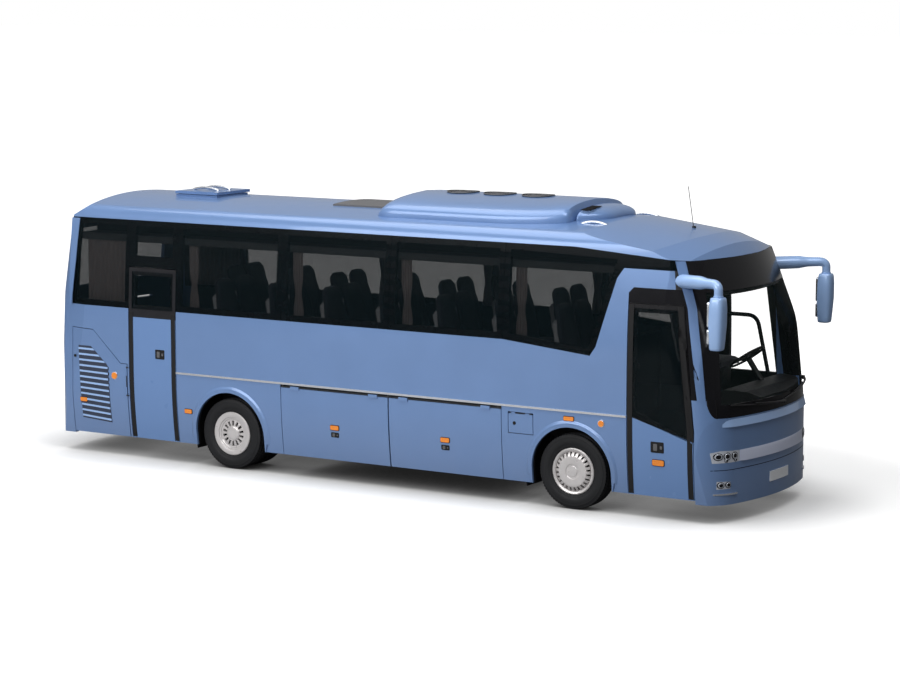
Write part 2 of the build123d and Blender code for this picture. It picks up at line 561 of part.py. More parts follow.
# Filler flap.
filler_axis_z = FILLER[3] + 6
filler_out = half_width(filler_axis_z) + 1
filler = side_cut(outer - body_solid(WALL / 2), ((FILLER[0], FILLER[2]), (FILLER[1], FILLER[2]),
                                                 (FILLER[1], FILLER[3] - 2), (FILLER[0], FILLER[3] - 2)))
filler_curls = ((FILLER[0] + 40, FILLER[0] + 90), (FILLER[1] - 90, FILLER[1] - 40))
for x0, x1 in filler_curls:
    web = box(x0, x1, -filler_out + 1, -filler_out + 14, FILLER[3] - 12, filler_axis_z)
    filler = filler + box(x0, x1, -filler_out - 6, -filler_out + 6, FILLER[3] - 4,
                          filler_axis_z + 6) + (web & outer)
filler = filler - rod_x(FILLER[0], FILLER[1], -filler_out, filler_axis_z, 3 + HINGE_FREE)
filler_rod = rod_x(FILLER[0] + 20, FILLER[1] - 20, -filler_out, filler_axis_z, 3)
for x in (FILLER[0] + 26, FILLER[1] - 26):
    filler_rod = filler_rod + box(x - 6, x + 6, -filler_out - 2, -filler_out + 12, filler_axis_z - 2,
                                  FILLER_TOP_Z)
rods.append(filler_rod)
save("filler_flap", filler)

# Side engine flap, hung on its front edge.
flap_outline = ((REAR_SEAM_X + GAP, SKIRT_Z), (FLAP_FRONT_X - 4, SKIRT_Z), (FLAP_FRONT_X - 4, FLAP_LOW_TOP_Z),
                (FLAP_TOP[2][0] - 2, FLAP_LOW_TOP_Z), FLAP_TOP[1], (REAR_SEAM_X + GAP, FLAP_TOP_Z))
flap = side_cut(shell, flap_outline)
flap_axis = (FLAP_FRONT_X - 6, -HALF_WIDTH - 4)
flap_curls = ((780, 870), (1010, 1100))
for z0, z1 in flap_curls:
    web = box(FLAP_FRONT_X - 16, FLAP_FRONT_X - 4, flap_axis[1], -HALF_WIDTH + 30, z0, z1)
    flap = flap + rod_z(flap_axis[0], flap_axis[1], z0, z1, CURL_R) + web
flap = flap - rod_z(flap_axis[0], flap_axis[1], 600, FLAP_LOW_TOP_Z, HINGE_PIN_R + HINGE_FREE)
flap_rod = rod_z(flap_axis[0], flap_axis[1], 760, 1120, HINGE_PIN_R)
foot_x = FLAP_FRONT_X + GAP + 1
for z in (766, 1112):
    plate = box(flap_axis[0] - 3, foot_x + 14, flap_axis[1] - 4, flap_axis[1] + 4, z - 6, z + 6)
    foot = box(foot_x, foot_x + 14, flap_axis[1], -half_width(z) + 20, z - 6, z + 6) - outer
    flap_rod = flap_rod + plate + foot
rods.append(flap_rod)

# Air louvres in the flap: slots between slats, shorter towards the top by the slanted front edge.
LOUVRE_COUNT = 12
LOUVRE_PITCH = 66
LOUVRE_SLOT = 40
LOUVRE_DEEP = 24
louvre_x0 = REAR_SEAM_X + 130
for index in range(LOUVRE_COUNT):
    low = BUMPER_Z - 130 + LOUVRE_PITCH * index
    front = min(FLAP_FRONT_X - 280, FLAP_FRONT_X - 280 - (low + LOUVRE_SLOT - RAIL_Z) * 1.1)
    slot = box(louvre_x0, front, -OUTSIDE, -HALF_WIDTH + LOUVRE_DEEP, low, low + LOUVRE_SLOT)
    flap = flap - slot
save("engine_flap", flap)

# Back: panel, window, engine lid, bumper, lamps.
rear_zone = box(X_REAR - 100, REAR_SEAM_X, -OUTSIDE, OUTSIDE, 100, HIGH)
back_out = outer & rear_zone
back_in = inner & rear_zone
for row in REAR_BROW:
    back_out = back_out & brow_prism(row, 0)
    back_in = back_in & brow_prism(row, WALL)
rear_shell = back_out - back_in
BACK_BUMPER_Z = 620
BACK_WINDOW = (950, 1950, 2800)
LID_HALF = 700
LID_TOP_Z = 1740
LID_LOW_Z = BACK_BUMPER_Z + GAP
back_window_prism = front_prism(((-BACK_WINDOW[0], BACK_WINDOW[1]), (BACK_WINDOW[0], BACK_WINDOW[1]),
                                 (BACK_WINDOW[0] - 60, BACK_WINDOW[2]),
                                 (-BACK_WINDOW[0] + 60, BACK_WINDOW[2])), X_REAR - 100, X_REAR + 580)
back_hole = front_prism(((-BACK_WINDOW[0] + 60, BACK_WINDOW[1] + 60),
                         (BACK_WINDOW[0] - 60, BACK_WINDOW[1] + 60),
                         (BACK_WINDOW[0] - 120, BACK_WINDOW[2] - 60),
                         (-BACK_WINDOW[0] + 120, BACK_WINDOW[2] - 60)), X_REAR - 100, X_REAR + 580)
lid_gate = box(X_REAR - 100, X_REAR + 580, -LID_HALF - GAP, LID_HALF + GAP, LID_LOW_Z - GAP,
               LID_TOP_Z + GAP + 10)
# Tail lamps stacked at each corner; columns: low z, high z.
TAIL_Z = ((840, 970), (980, 1110), (1120, 1250))
tail_blocks = []
for y in (-1010, 1010):
    for z0, z1 in TAIL_Z:
        tail_blocks.append(box(X_REAR - 100, X_REAR + 580, y - 60, y + 60, z0, z1))
back = rear_shell & box(X_REAR - 100, 0, -OUTSIDE, OUTSIDE, BACK_BUMPER_Z, HIGH)
back = back - back_hole - lid_gate - (glass_shell & back_window_prism)
tails = []
for block in tail_blocks:
    tails += solids_of(rear_shell & block)
    back = back - block
engine_lid = rear_shell & box(X_REAR - 100, X_REAR + 580, -LID_HALF, LID_HALF, LID_LOW_Z, LID_TOP_Z - CURL_R)
lean = REAR_FAN[1]
lid_axis_x = lean[0] + (lean[2] - lean[0]) * (LID_TOP_Z - lean[1]) / (lean[3] - lean[1])
lid_axis = (lid_axis_x - 2, LID_TOP_Z)
LID_SLOTS = 8
for index in range(LID_SLOTS):
    low = LID_LOW_Z + 120 + index * 62
    engine_lid = engine_lid - box(X_REAR - 100, X_REAR + LOUVRE_DEEP, -LID_HALF + 150, LID_HALF - 150, low,
                                  low + 34)
back_curls = ((-230, -150), (150, 230))
for y0, y1 in back_curls:
    engine_lid = engine_lid + box(lid_axis[0] - CURL_R, lid_axis[0] + CURL_R, y0, y1, LID_TOP_Z - 30,
                                  LID_TOP_Z + CURL_R)
engine_lid = engine_lid - rod_y(lid_axis[0], -300, 300, LID_TOP_Z, HINGE_PIN_R + HINGE_FREE)
lid_rod = rod_y(lid_axis[0], -250, 250, LID_TOP_Z, HINGE_PIN_R)
for y in (-242, 242):
    lid_rod = lid_rod + box(lid_axis[0] - 4, lid_axis[0] + 16, y - 8, y + 8, LID_TOP_Z - 3,
                            LID_TOP_Z + GAP + 10)
rods.append(lid_rod)
save("back_panel", back)
save("back_bumper", rear_shell & box(X_REAR - 100, 0, -OUTSIDE, OUTSIDE, 230, BACK_BUMPER_Z))
save("engine_lid", engine_lid)
save("tail_lamps", *tails)
save("body_windows", *right_glass, *left_glass, glass_shell & back_window_prism)
save("hinge_rods", *rods)

# Doors: a panel with its pane, carried by an arm on a turning post.
POST_R = 22
ARM_Y = 1050
ARM_Z = (620, 900)
PIN_R = 8


def door(outline, pane, hole, hinge_x):
    panel = side_cut(shell, outline) - side_prism(hole, *RIGHT) - (glass_shell & side_prism(pane, *RIGHT))
    for z in ARM_Z:
        for low in (z - 34, z + 14):
            ear = box(hinge_x - 20, hinge_x + 20, -HALF_WIDTH, -ARM_Y + 18, low, low + 20) & behind_glass
            panel = panel + ear
        panel = panel + rod_z(hinge_x, -ARM_Y, z - 34, z + 34, PIN_R)
    return panel


def door_arm(post_at, length, foot_z, head_z):
    arm = rod_z(post_at, -ARM_Y, foot_z, head_z, POST_R)
    for z in ARM_Z:
        bar = box(post_at - length, post_at, -ARM_Y - 12, -ARM_Y + 12, z - 12, z + 12)
        eye = rod_z(post_at - length, -ARM_Y, z - 12, z + 12, 18)
        arm = arm + bar + eye
    for z in ARM_Z:
        arm = arm - rod_z(post_at - length, -ARM_Y, z - 40, z + 40, PIN_R + HINGE_FREE)
    return arm


FRONT_ARM = 420
REAR_ARM = 360
FRONT_POST_X = FRONT_DOOR_X1 - 140
REAR_POST_X = REAR_DOOR_X1 - 120
PANE_IN = 45
HOLE_IN = 90


def raked(z, inset):
    return FRONT_DOOR_X1 - rake * max(z - DOOR_RAKE_Z, 0) - inset


front_door = ((FRONT_DOOR_X0, SKIRT_Z), (FRONT_DOOR_X1, SKIRT_Z), (FRONT_DOOR_X1, DOOR_RAKE_Z),
              (raked(DOOR_TOP_Z, 0), DOOR_TOP_Z), (FRONT_DOOR_X0, DOOR_TOP_Z))
KICK = (1119, 890)


def door_pane(inset):
    return ((FRONT_DOOR_X0 + inset, KICK[0] + inset - PANE_IN),
            (FRONT_DOOR_X1 - inset, KICK[1] + inset - PANE_IN),
            (FRONT_DOOR_X1 - inset, DOOR_RAKE_Z), (raked(DOOR_TOP_Z, inset), DOOR_TOP_Z - inset),
            (FRONT_DOOR_X0 + inset, DOOR_TOP_Z - inset))


save("front_door", door(front_door, door_pane(PANE_IN), door_pane(HOLE_IN), FRONT_POST_X - FRONT_ARM))
save("front_door_glass", side_cut(glass_shell, door_pane(PANE_IN)))
rear_door = ((REAR_DOOR_X0, SKIRT_Z), (REAR_DOOR_X1, SKIRT_Z), (REAR_DOOR_X1, DOOR_TOP_Z),
             (REAR_DOOR_X0, DOOR_TOP_Z))


def rear_pane(inset):
    return ((REAR_DOOR_X0 + inset, WAIST_Z + inset - PANE_IN),
            (REAR_DOOR_X1 - inset, WAIST_Z + inset - PANE_IN),
            (REAR_DOOR_X1 - inset, DOOR_TOP_Z - inset), (REAR_DOOR_X0 + inset, DOOR_TOP_Z - inset))


save("rear_door", door(rear_door, rear_pane(PANE_IN), rear_pane(HOLE_IN), REAR_POST_X - REAR_ARM))
save("rear_door_glass", side_cut(glass_shell, rear_pane(PANE_IN)))
STEP_Z = (350, 600, 850)
STEP_Y = (900, 700, 500)
save("front_door_arm", door_arm(FRONT_POST_X, FRONT_ARM, STEP_Z[0] + HINGE_FREE, 1350))
save("rear_door_arm", door_arm(REAR_POST_X, REAR_ARM, STEP_Z[0] + HINGE_FREE, 1350))

# Floor, and a stepwell behind each door.
STEP_T = 30
DOOR_ROOM_Y = HALF_WIDTH - 125
WELL_OUT_Y = HALF_WIDTH - 70


def stepwell(x0, x1):
    pieces = [box(x0, x1, -WELL_OUT_Y, -STEP_Y[0], STEP_Z[0] - STEP_T, STEP_Z[0])]
    riser_y = STEP_Y
    tops = STEP_Z + (FLOOR_Z,)
    for index in range(3):
        pieces.append(box(x0, x1, -riser_y[index], -riser_y[index] + STEP_T, STEP_Z[index] - STEP_T,
                          tops[index + 1]))
        if index < 2:
            pieces.append(box(x0, x1, -riser_y[index], -riser_y[index + 1], tops[index + 1] - STEP_T,
                              tops[index + 1]))
    for x in (x0, x1 - STEP_T):
        pieces.append(side_wall(x))
    return fuse_all(pieces)


def side_wall(x):
    outline = ((-WELL_OUT_Y, STEP_Z[0] - STEP_T), (-STEP_Y[0] + STEP_T, STEP_Z[0] - STEP_T),
               (-STEP_Y[1] + STEP_T, STEP_Z[1] - STEP_T),
               (-STEP_Y[2] + STEP_T, STEP_Z[2] - STEP_T), (-STEP_Y[2] + STEP_T, FLOOR_Z),
               (-WELL_OUT_Y, FLOOR_Z))
    return front_prism(outline, x, x + STEP_T)


REAR_WELL = (REAR_DOOR_X0 + 2, REAR_DOOR_X1 - 2)
FRONT_WELL = (FRONT_DOOR_X0 + 2, FRONT_DOOR_X1 - 2)
floor = box(X_REAR + 180, X_FRONT - 180, -HALF_WIDTH + 40, HALF_WIDTH - 40, FLOOR_Z - FLOOR_THICK, FLOOR_Z)
for x0, x1 in (REAR_WELL, FRONT_WELL):
    floor = floor - box(x0, x1, -OUTSIDE, -STEP_Y[2] + STEP_T, FLOOR_Z - 200, FLOOR_Z + 200)
wells = []
for x0, x1 in (REAR_WELL, FRONT_WELL):
    door_room = box(x0 - 3, x1 + 3, -OUTSIDE, -DOOR_ROOM_Y, 0, DOOR_TOP_Z)
    floor = floor - door_room
    wells += solids_of((stepwell(x0, x1) - door_room) & inner)
save("cabin_floor", floor & inner)
save("stepwells", *wells)

# Luggage hold between the axles.
HOLD_T = 30
HOLD_Y = HALF_WIDTH - 115
hold = box(LID_X[0], LID_X[2], -HOLD_Y, HOLD_Y, SKIRT_Z + 20, SKIRT_Z + 20 + HOLD_T)
for x in (LID_X[0], LID_X[2] - HOLD_T):
    hold = hold + box(x, x + HOLD_T, -HOLD_Y, HOLD_Y, SKIRT_Z + 20, FLOOR_Z - FLOOR_THICK)
save("luggage_hold", hold & seated)

# Sub-frames, axles, engine.
RAIL_Y = (400, 470)
FRAME_Z = (660, 810)
JACK_X = (X_FRONT - 880, REAR_DOOR_X1 + 20)
frames = []
for x0, x1 in ((LID_X[2], X_FRONT - 280), (X_REAR + 300, LID_X[0])):
    rails = []
    for sign in (-1, 1):
        ends = sorted((sign * RAIL_Y[0], sign * RAIL_Y[1]))
        rails.append(box(x0, x1, ends[0], ends[1], *FRAME_Z))
    crosses = (x0 + 60, (x0 + x1) / 2, x1 - 60) if x0 > 0 else (REAR_DOOR_X0 + 10, X_REAR_AXLE - 500, x1 - 60)
    for x in crosses:
        rails.append(box(x - 30, x + 30, -RAIL_Y[1], RAIL_Y[1], FRAME_Z[0] + 20, FRAME_Z[1] - 20))
    for x in (x0 + 300, x1 - 300):
        for sign in (-1, 1):
            ends = sorted((sign * RAIL_Y[0], sign * RAIL_Y[1]))
            rails.append(box(x - 40, x + 40, ends[0], ends[1], FRAME_Z[1] - 1, FLOOR_Z - FLOOR_THICK))
    for x in JACK_X:
        for sign in (-1, 1):
            ends = sorted((sign * RAIL_Y[0], sign * RAIL_Y[1]))
            if x0 < x < x1:
                rails.append(box(x - 60, x + 60, ends[0], ends[1], FRAME_Z[0] - 20, FRAME_Z[0] + 1))
    frames.append(fuse_all(rails))
TOW_R = 16
TOW_X = X_FRONT - 250
tow = box(TOW_X - 130, TOW_X + 40, -30, 30, 330, 360)
tow = tow + box(TOW_X - 130, TOW_X - 90, -30, 30, 330, FRAME_Z[0] + 30) - rod_z(TOW_X, 0, 300, 400, TOW_R)
cross_front = box(TOW_X - 150, TOW_X - 90, -RAIL_Y[1], RAIL_Y[1], FRAME_Z[0] + 20, FRAME_Z[1] - 20)
frames[0] = frames[0] + cross_front + tow
save("chassis_frame", *frames)

BEAM_Z = (360, 444)
PIN_BLOCK = 40
spring_z = (BEAM_Z[1] - 2, FRAME_Z[0])
front_axle = box(X_FRONT_AXLE - 45, X_FRONT_AXLE + 45, -KINGPIN_Y - PIN_BLOCK, KINGPIN_Y + PIN_BLOCK, *BEAM_Z)
for sign in (-1, 1):
    front_axle = front_axle + rod_z(X_FRONT_AXLE, sign * KINGPIN_Y, 306, 498, KINGPIN_R)
    front_axle = front_axle + rod_z(X_FRONT_AXLE, sign * 440, *spring_z, 100)
save("front_axle", front_axle)

DISC_T = 25
disc_in = TYRE_OUT_Y - 15 - DISC_T
FORK_IN = KINGPIN_Y + 68


def knuckle(sign):
    pieces = []
    for z0, z1 in ((310, 350), (454, 494)):
        ends = sorted((sign * (KINGPIN_Y - 40), sign * (FORK_IN + 30)))
        pieces.append(box(X_FRONT_AXLE - 45, X_FRONT_AXLE + 45, ends[0], ends[1], z0, z1))
    ends = sorted((sign * FORK_IN, sign * (FORK_IN + 30)))
    pieces.append(box(X_FRONT_AXLE - 60, X_FRONT_AXLE + 60, ends[0], ends[1], 310, 494))
    ends = sorted((sign * (FORK_IN + 20), sign * (disc_in - HINGE_FREE)))
    pieces.append(rod_y(X_FRONT_AXLE, ends[0], ends[1], AXLE_Z, 45))
    arm_y = sorted((sign * (TIE_Y - 20), sign * (KINGPIN_Y + 30)))
    pieces.append(box(X_FRONT_AXLE - TIE_ARM - 20, X_FRONT_AXLE - 40, arm_y[0], arm_y[1], 322, 346))
    pieces.append(rod_z(X_FRONT_AXLE - TIE_ARM, sign * TIE_Y, 330, 394, 10))
    body = fuse_all(pieces)
    return body - rod_z(X_FRONT_AXLE, sign * KINGPIN_Y, 280, 520, KINGPIN_R + HINGE_FREE)


save("knuckle_right", knuckle(-1))
save("knuckle_left", knuckle(1))
tie = rod_y(X_FRONT_AXLE - TIE_ARM, -TIE_Y, TIE_Y, 370, 13)
for sign in (-1, 1):
    tie = tie + rod_z(X_FRONT_AXLE - TIE_ARM, sign * TIE_Y, 354, 386, 24)
for sign in (-1, 1):
    tie = tie - rod_z(X_FRONT_AXLE - TIE_ARM, sign * TIE_Y, 320, 420, 10 + HINGE_FREE)
save("tie_rod", tie)

rear_axle = rod_y(X_REAR_AXLE, -disc_in + HINGE_FREE, disc_in - HINGE_FREE, AXLE_Z, 60)
rear_axle = rear_axle + rod_x(X_REAR_AXLE - 130, X_REAR_AXLE + 130, 0, AXLE_Z, 190)
for sign in (-1, 1):
    rear_axle = rear_axle + rod_z(X_REAR_AXLE, sign * 440, AXLE_Z, FRAME_Z[0], 100)
save("rear_axle", rear_axle)
engine = box(X_REAR + 260, FLAP_FRONT_X - 30, -370, 370, 480, FLOOR_Z - FLOOR_THICK - 20)
for x in (X_REAR + 430, FLAP_FRONT_X - 180):
    engine = engine + box(x - 50, x + 50, -RAIL_Y[0], RAIL_Y[0], FRAME_Z[0] + 10, FRAME_Z[1] - 10)
save("engine_block", engine)


# Wheels.
def wheel_profile(points, sign):
    face = make_face(Polyline(*[(r, sign * y) for r, y in points], close=True))
    return revolve(face, Axis.Y, 360)


def tyre(out_y, sign):
    mid = out_y - TYRE_W / 2
    half = TYRE_W / 2
    bead = BEAD_R + 0.2
    return wheel_profile(((bead, mid - half), (TYRE_R, mid - half), (TYRE_R, mid + half),
                          (bead, mid + half)), sign)


def rim(in_y, sign):
    out_y = TYRE_OUT_Y - 15
    points = ((0, disc_in), (240, disc_in), (240, in_y), (BEAD_R, in_y), (BEAD_R, out_y), (0, out_y))
    return wheel_profile(points, sign)


wheel_table = (("front", "right", X_FRONT_AXLE, -1, 0), ("front", "left", X_FRONT_AXLE, 1, 0),
               ("rear", "right", X_REAR_AXLE, -1, TWIN_PITCH), ("rear", "left", X_REAR_AXLE, 1, TWIN_PITCH))
for end, side, x, sign, twin in wheel_table:
    place = Pos(x, 0, AXLE_Z)
    tyres = [place * tyre(TYRE_OUT_Y, sign)]
    if twin:
        tyres.append(place * tyre(TYRE_OUT_Y - twin, sign))
    save(f"{end}_tyre_{side}", *tyres)
    save(f"{end}_rim_{side}", place * rim(TYRE_OUT_Y - TYRE_W + 15 - twin, sign))

# Mud flaps behind the wheels, hung from the floor.
flaps = []
for x in (X_FRONT_AXLE - 620, X_REAR_AXLE - 560):
    flaps.append(box(x - 8, x, -HALF_WIDTH + 105, -560, 190, FLOOR_Z - FLOOR_THICK))
    flaps.append(box(x - 8, x, 560, HALF_WIDTH - 105, 190, FLOOR_Z - FLOOR_THICK))
mud = []
for flap_box in flaps:
    mud += solids_of(flap_box & seated)
save("mud_flaps", *mud)

# Roof unit, aerial, mirrors.
AC_X = (X_FRONT_AXLE - 2920, X_FRONT_AXLE + 10)
AC_HALF = 900
AC_TOP = ROOF_Z + 210
AC_LOW = ROOF_Z - 160
AC_EDGE_R = 110
AC_NOSE_R = 1280
unit_side = ((AC_X[0], AC_LOW), (AC_X[0] + 40, AC_TOP - 90), (AC_X[0] + 240, AC_TOP), (AC_X[1] - 620, AC_TOP),
             (AC_X[1] - 180, AC_TOP - 70), (AC_X[1], AC_TOP - 190), (AC_X[1], AC_LOW))
unit_section = Plane.YZ.offset(AC_X[0] - 100) * Pos(0, AC_TOP - 300) * RectangleRounded(2 * AC_HALF, 600,
                                                                                        AC_EDGE_R)
with BuildSketch(Plane.XY.offset(AC_LOW)) as unit_plan:
    with Locations((AC_X[1] - AC_NOSE_R, 0)):
        Circle(AC_NOSE_R)
    with Locations((AC_X[0] + 200, 0)):
        Rectangle(2 * AC_NOSE_R, 2 * AC_HALF)
unit = side_prism(unit_side, -AC_HALF, AC_HALF) & extrude(unit_section, 3400) & extrude(unit_plan.sketch, 600)
FAN_X = (AC_X[0] + 1110, AC_X[0] + 1640, AC_X[0] + 2150)
FAN_Y = 490
FAN_R = 215
cover = unit - outer
for x in FAN_X:
    for y in (-FAN_Y, FAN_Y):
        cover = cover - rod_z(x, y, AC_TOP - 40, AC_TOP + 10, FAN_R)
        cover = cover + rod_z(x, y, AC_TOP - 50, AC_TOP - 14, 70)
save("roof_unit", cover)
AERIAL_X = X_FRONT_AXLE + 880
AERIAL_FOOT_Z = ROOF_Z - 70
mast = Pos(AERIAL_X - 40, 0, AERIAL_FOOT_Z + 200) * Rot(0, -9, 0) * Cylinder(4, 480)
aerial = rod_z(AERIAL_X, 0, WINDOW_TOP_Z, AERIAL_FOOT_Z, 22) + mast
save("aerial", aerial - cap_out)
MIRROR_Y = HALF_WIDTH + 154
MIRROR_X = FRONT_DOOR_X1 + 365
MIRROR_Z = (DOOR_TOP_Z - 410, DOOR_TOP_Z + 160)
MIRROR_ARM_Z = (MIRROR_Z[1] + 70, MIRROR_Z[1] + 165)
MIRROR_ARM_W = 78


def arm_bar(start, end):
    run = end[0] - start[0]
    across = end[1] - start[1]
    long = sqrt(run**2 + across**2)
    off = (-across / long * MIRROR_ARM_W / 2, run / long * MIRROR_ARM_W / 2)
    corners = ((start[0] + off[0], start[1] + off[1]), (end[0] + off[0], end[1] + off[1]),
               (end[0] - off[0], end[1] - off[1]), (start[0] - off[0], start[1] - off[1]))
    face = Pos(0, 0, MIRROR_ARM_Z[0]) * make_face(Polyline(*corners, close=True))
    return extrude(face, MIRROR_ARM_Z[1] - MIRROR_ARM_Z[0])


def mirror_arm(sign):
    root = (FRONT_DOOR_X1 - 240, sign * (HALF_WIDTH - 130))
    bend = (FRONT_DOOR_X1 + 160, sign * (HALF_WIDTH + 70))
    head = (MIRROR_X, sign * MIRROR_Y)
    arm = arm_bar(root, bend) + arm_bar(bend, head)
    for x, y in (bend, head):
        arm = arm + rod_z(x, y, *MIRROR_ARM_Z, MIRROR_ARM_W / 2)
    arm = arm - outer
    arm = arm + rod_z(*head, MIRROR_Z[1] - 5, MIRROR_ARM_Z[1], MIRROR_ARM_W / 2)
    housing = Pos(MIRROR_X, sign * MIRROR_Y, MIRROR_Z[0]) * RectangleRounded(190, 200, 60)
    return arm + extrude(housing, MIRROR_Z[1] - MIRROR_Z[0])


save("mirrors", mirror_arm(-1), mirror_arm(1))

# Inside: dashboard, steering wheel, seats, racks, curtains, guard rail.
DASH_TOP_Z = FLOOR_Z + 245
dash_side = ((X_FRONT - 660, FLOOR_Z), (X_FRONT - 80, FLOOR_Z), (X_FRONT - 80, DASH_TOP_Z - 45),
             (X_FRONT - 260, DASH_TOP_Z),
             (X_FRONT - 530, DASH_TOP_Z), (X_FRONT - 620, DASH_TOP_Z - 85))
dash = side_prism(dash_side, -330, HALF_WIDTH - 50) & inner
COLUMN_Y = 560
COLUMN_TILT = 35
COLUMN_FOOT = Pos(X_FRONT - 490, COLUMN_Y, DASH_TOP_Z - 15) * Rot(0, -COLUMN_TILT, 0)
COLUMN_L = 330
dash = dash + COLUMN_FOOT * (Pos(0, 0, COLUMN_L / 2 - 20) * Cylinder(32, COLUMN_L))
save("dashboard", dash)
HUB_L = COLUMN_L - 20 + HINGE_FREE
steer_wheel = COLUMN_FOOT * (Pos(0, 0, HUB_L + 15) * Cylinder(55, 30))
RING_R = 228
RING_T = 28
ring = Cylinder(RING_R, RING_T) - Cylinder(RING_R - RING_T, 2 * RING_T)
steer_wheel = steer_wheel + COLUMN_FOOT * (Pos(0, 0, HUB_L + 20) * ring)
for turn in (0, 120, 240):
    steer_wheel = steer_wheel + COLUMN_FOOT * (Rot(0, 0, turn) * Pos(125, 0, HUB_L + 20) * Box(180, 30, 12))
save("steering_wheel", steer_wheel)

SEAT_Z = (FLOOR_Z + 350, FLOOR_Z + 470)
SEAT_TOP_Z = FLOOR_Z + 1140
SEAT_D = 440
SEAT_W = 412
PITCH = 780
cushions = []
backs = []
seat_rows = []
driver_x = FRONT_DOOR_X0 - 90
SEAT_SIDE_Y = HALF_WIDTH - 142
SEAT_GAP = 0.3
# Rows of double seats; columns: x of the rearmost, x that the foremost stays behind, side.
for first_x, last_x, sign in ((REAR_DOOR_X1 + 670, FRONT_DOOR_X0 - 100, -1),
                              (REAR_DOOR_X1 - 110, driver_x - 480, 1)):
    count = int((last_x - SEAT_D - first_x) / PITCH) + 1
    for index in range(count):
        seat_rows.append((first_x + PITCH * index, sign))
for x, sign in seat_rows:
    mid = sign * (SEAT_SIDE_Y - SEAT_W)
    cushion = box(x, x + SEAT_D, mid - SEAT_W, mid + SEAT_W, *SEAT_Z)
    cushion = cushion + box(x + 60, x + 340, mid - 300, mid + 300, FLOOR_Z, SEAT_Z[0])
    cushions.append(cushion)
    for half in (-1, 1):
        y = mid + half * SEAT_W / 2
        backs.append(side_prism(((x - SEAT_GAP, SEAT_Z[1] - 60), (x - 104, SEAT_Z[1] - 60),
                                 (x - 250, SEAT_TOP_Z), (x - 170, SEAT_TOP_Z)),
                                y - SEAT_W / 2 + 8, y + SEAT_W / 2 - 8))
driver_pad = box(driver_x, driver_x + 460, COLUMN_Y - 230, COLUMN_Y + 240, *SEAT_Z)
cushions.append(driver_pad + box(driver_x + 80, driver_x + 380, COLUMN_Y - 140, COLUMN_Y + 150, FLOOR_Z,
                                 SEAT_Z[0]))
backs.append(side_prism(((driver_x - SEAT_GAP, SEAT_Z[1] - 60), (driver_x - 110, SEAT_Z[1] - 60),
                         (driver_x - 230, SEAT_TOP_Z),
                         (driver_x - 150, SEAT_TOP_Z)), COLUMN_Y - 220, COLUMN_Y + 230))
save("seat_cushions", *cushions)
save("seat_backs", *backs)
RACK_Z = WINDOW_TOP_Z - 270
racks = []
for sign in (-1, 1):
    ends = sorted((sign * (HALF_WIDTH - 460), sign * HALF_WIDTH))
    racks.append(box(REAR_SEAM_X + 80, FRONT_DOOR_X0 - 170, ends[0], ends[1], RACK_Z, RACK_Z + 80) & inner)
save("luggage_racks", *racks)
curtain_x = [REAR_SEAM_X + 190, REAR_DOOR_X0 - 130, REAR_DOOR_X1 + 130]
for x in LID_X:
    curtain_x += [x - 110, x + 110]
CURTAIN_W = 140
CURTAIN_T = 22
curtain_top = RACK_Z - SEAT_GAP
curtain_y = half_width(curtain_top) - WALL - CURTAIN_ROOM
curtains = []
for x in curtain_x:
    for sign in (-1, 1):
        ends = sorted((sign * curtain_y, sign * (curtain_y - CURTAIN_T)))
        curtains.append(box(x - CURTAIN_W / 2, x + CURTAIN_W / 2, ends[0], ends[1], WAIST_Z + 30,
                            curtain_top))
save("curtains", *curtains)
GUARD_X = FRONT_DOOR_X0 - 80
GUARD_TOP_Z = FLOOR_Z + 850
GUARD_R = 18
guard_rail = rod_y(GUARD_X, -900, -300, GUARD_TOP_Z, GUARD_R - 3)
for y in (-900, -300):
    guard_rail = guard_rail + rod_z(GUARD_X, y, FLOOR_Z, GUARD_TOP_Z + 30, GUARD_R)
save("guard_rail", guard_rail)
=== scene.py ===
import math
import bpy
import numpy as np
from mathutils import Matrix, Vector


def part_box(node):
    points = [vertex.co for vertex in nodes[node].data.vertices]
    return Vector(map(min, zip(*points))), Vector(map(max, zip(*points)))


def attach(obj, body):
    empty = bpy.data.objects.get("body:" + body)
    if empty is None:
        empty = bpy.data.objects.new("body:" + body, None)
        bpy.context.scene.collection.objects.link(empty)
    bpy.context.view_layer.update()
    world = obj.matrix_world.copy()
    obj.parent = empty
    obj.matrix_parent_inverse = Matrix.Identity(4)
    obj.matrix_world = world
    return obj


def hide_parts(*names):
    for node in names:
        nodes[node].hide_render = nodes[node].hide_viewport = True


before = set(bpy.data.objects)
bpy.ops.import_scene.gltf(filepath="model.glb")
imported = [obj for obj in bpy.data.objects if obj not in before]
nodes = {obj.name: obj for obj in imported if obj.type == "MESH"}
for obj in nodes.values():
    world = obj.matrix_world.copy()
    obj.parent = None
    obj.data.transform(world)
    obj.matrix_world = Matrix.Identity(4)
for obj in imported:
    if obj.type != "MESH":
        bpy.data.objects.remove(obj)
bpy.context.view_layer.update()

scene = bpy.context.scene

# the coach's own surfaces, shared by every piece that lies on them
coach = dict(frontAxleX=2.72, rearAxleX=-1.94, axleZ=0.424, tyreRadius=0.424)
wallShape = dict(half=1.2, lowZ=1.09, lowRadius=6.0, highZ=1.6, highRadius=10.0)
# front face rows: x and z at the foot, x and z at the head, plan radius, corner radius, half width
noseRows = [(4.68, 0.10, 4.68, 1.22, 3.2, 0.42, 1.198),
            (4.68, 1.22, 4.57, 2.10, 3.2, 0.42, 1.188),
            (4.57, 2.10, 4.266, 2.82, 3.2, 0.40, 1.155)]


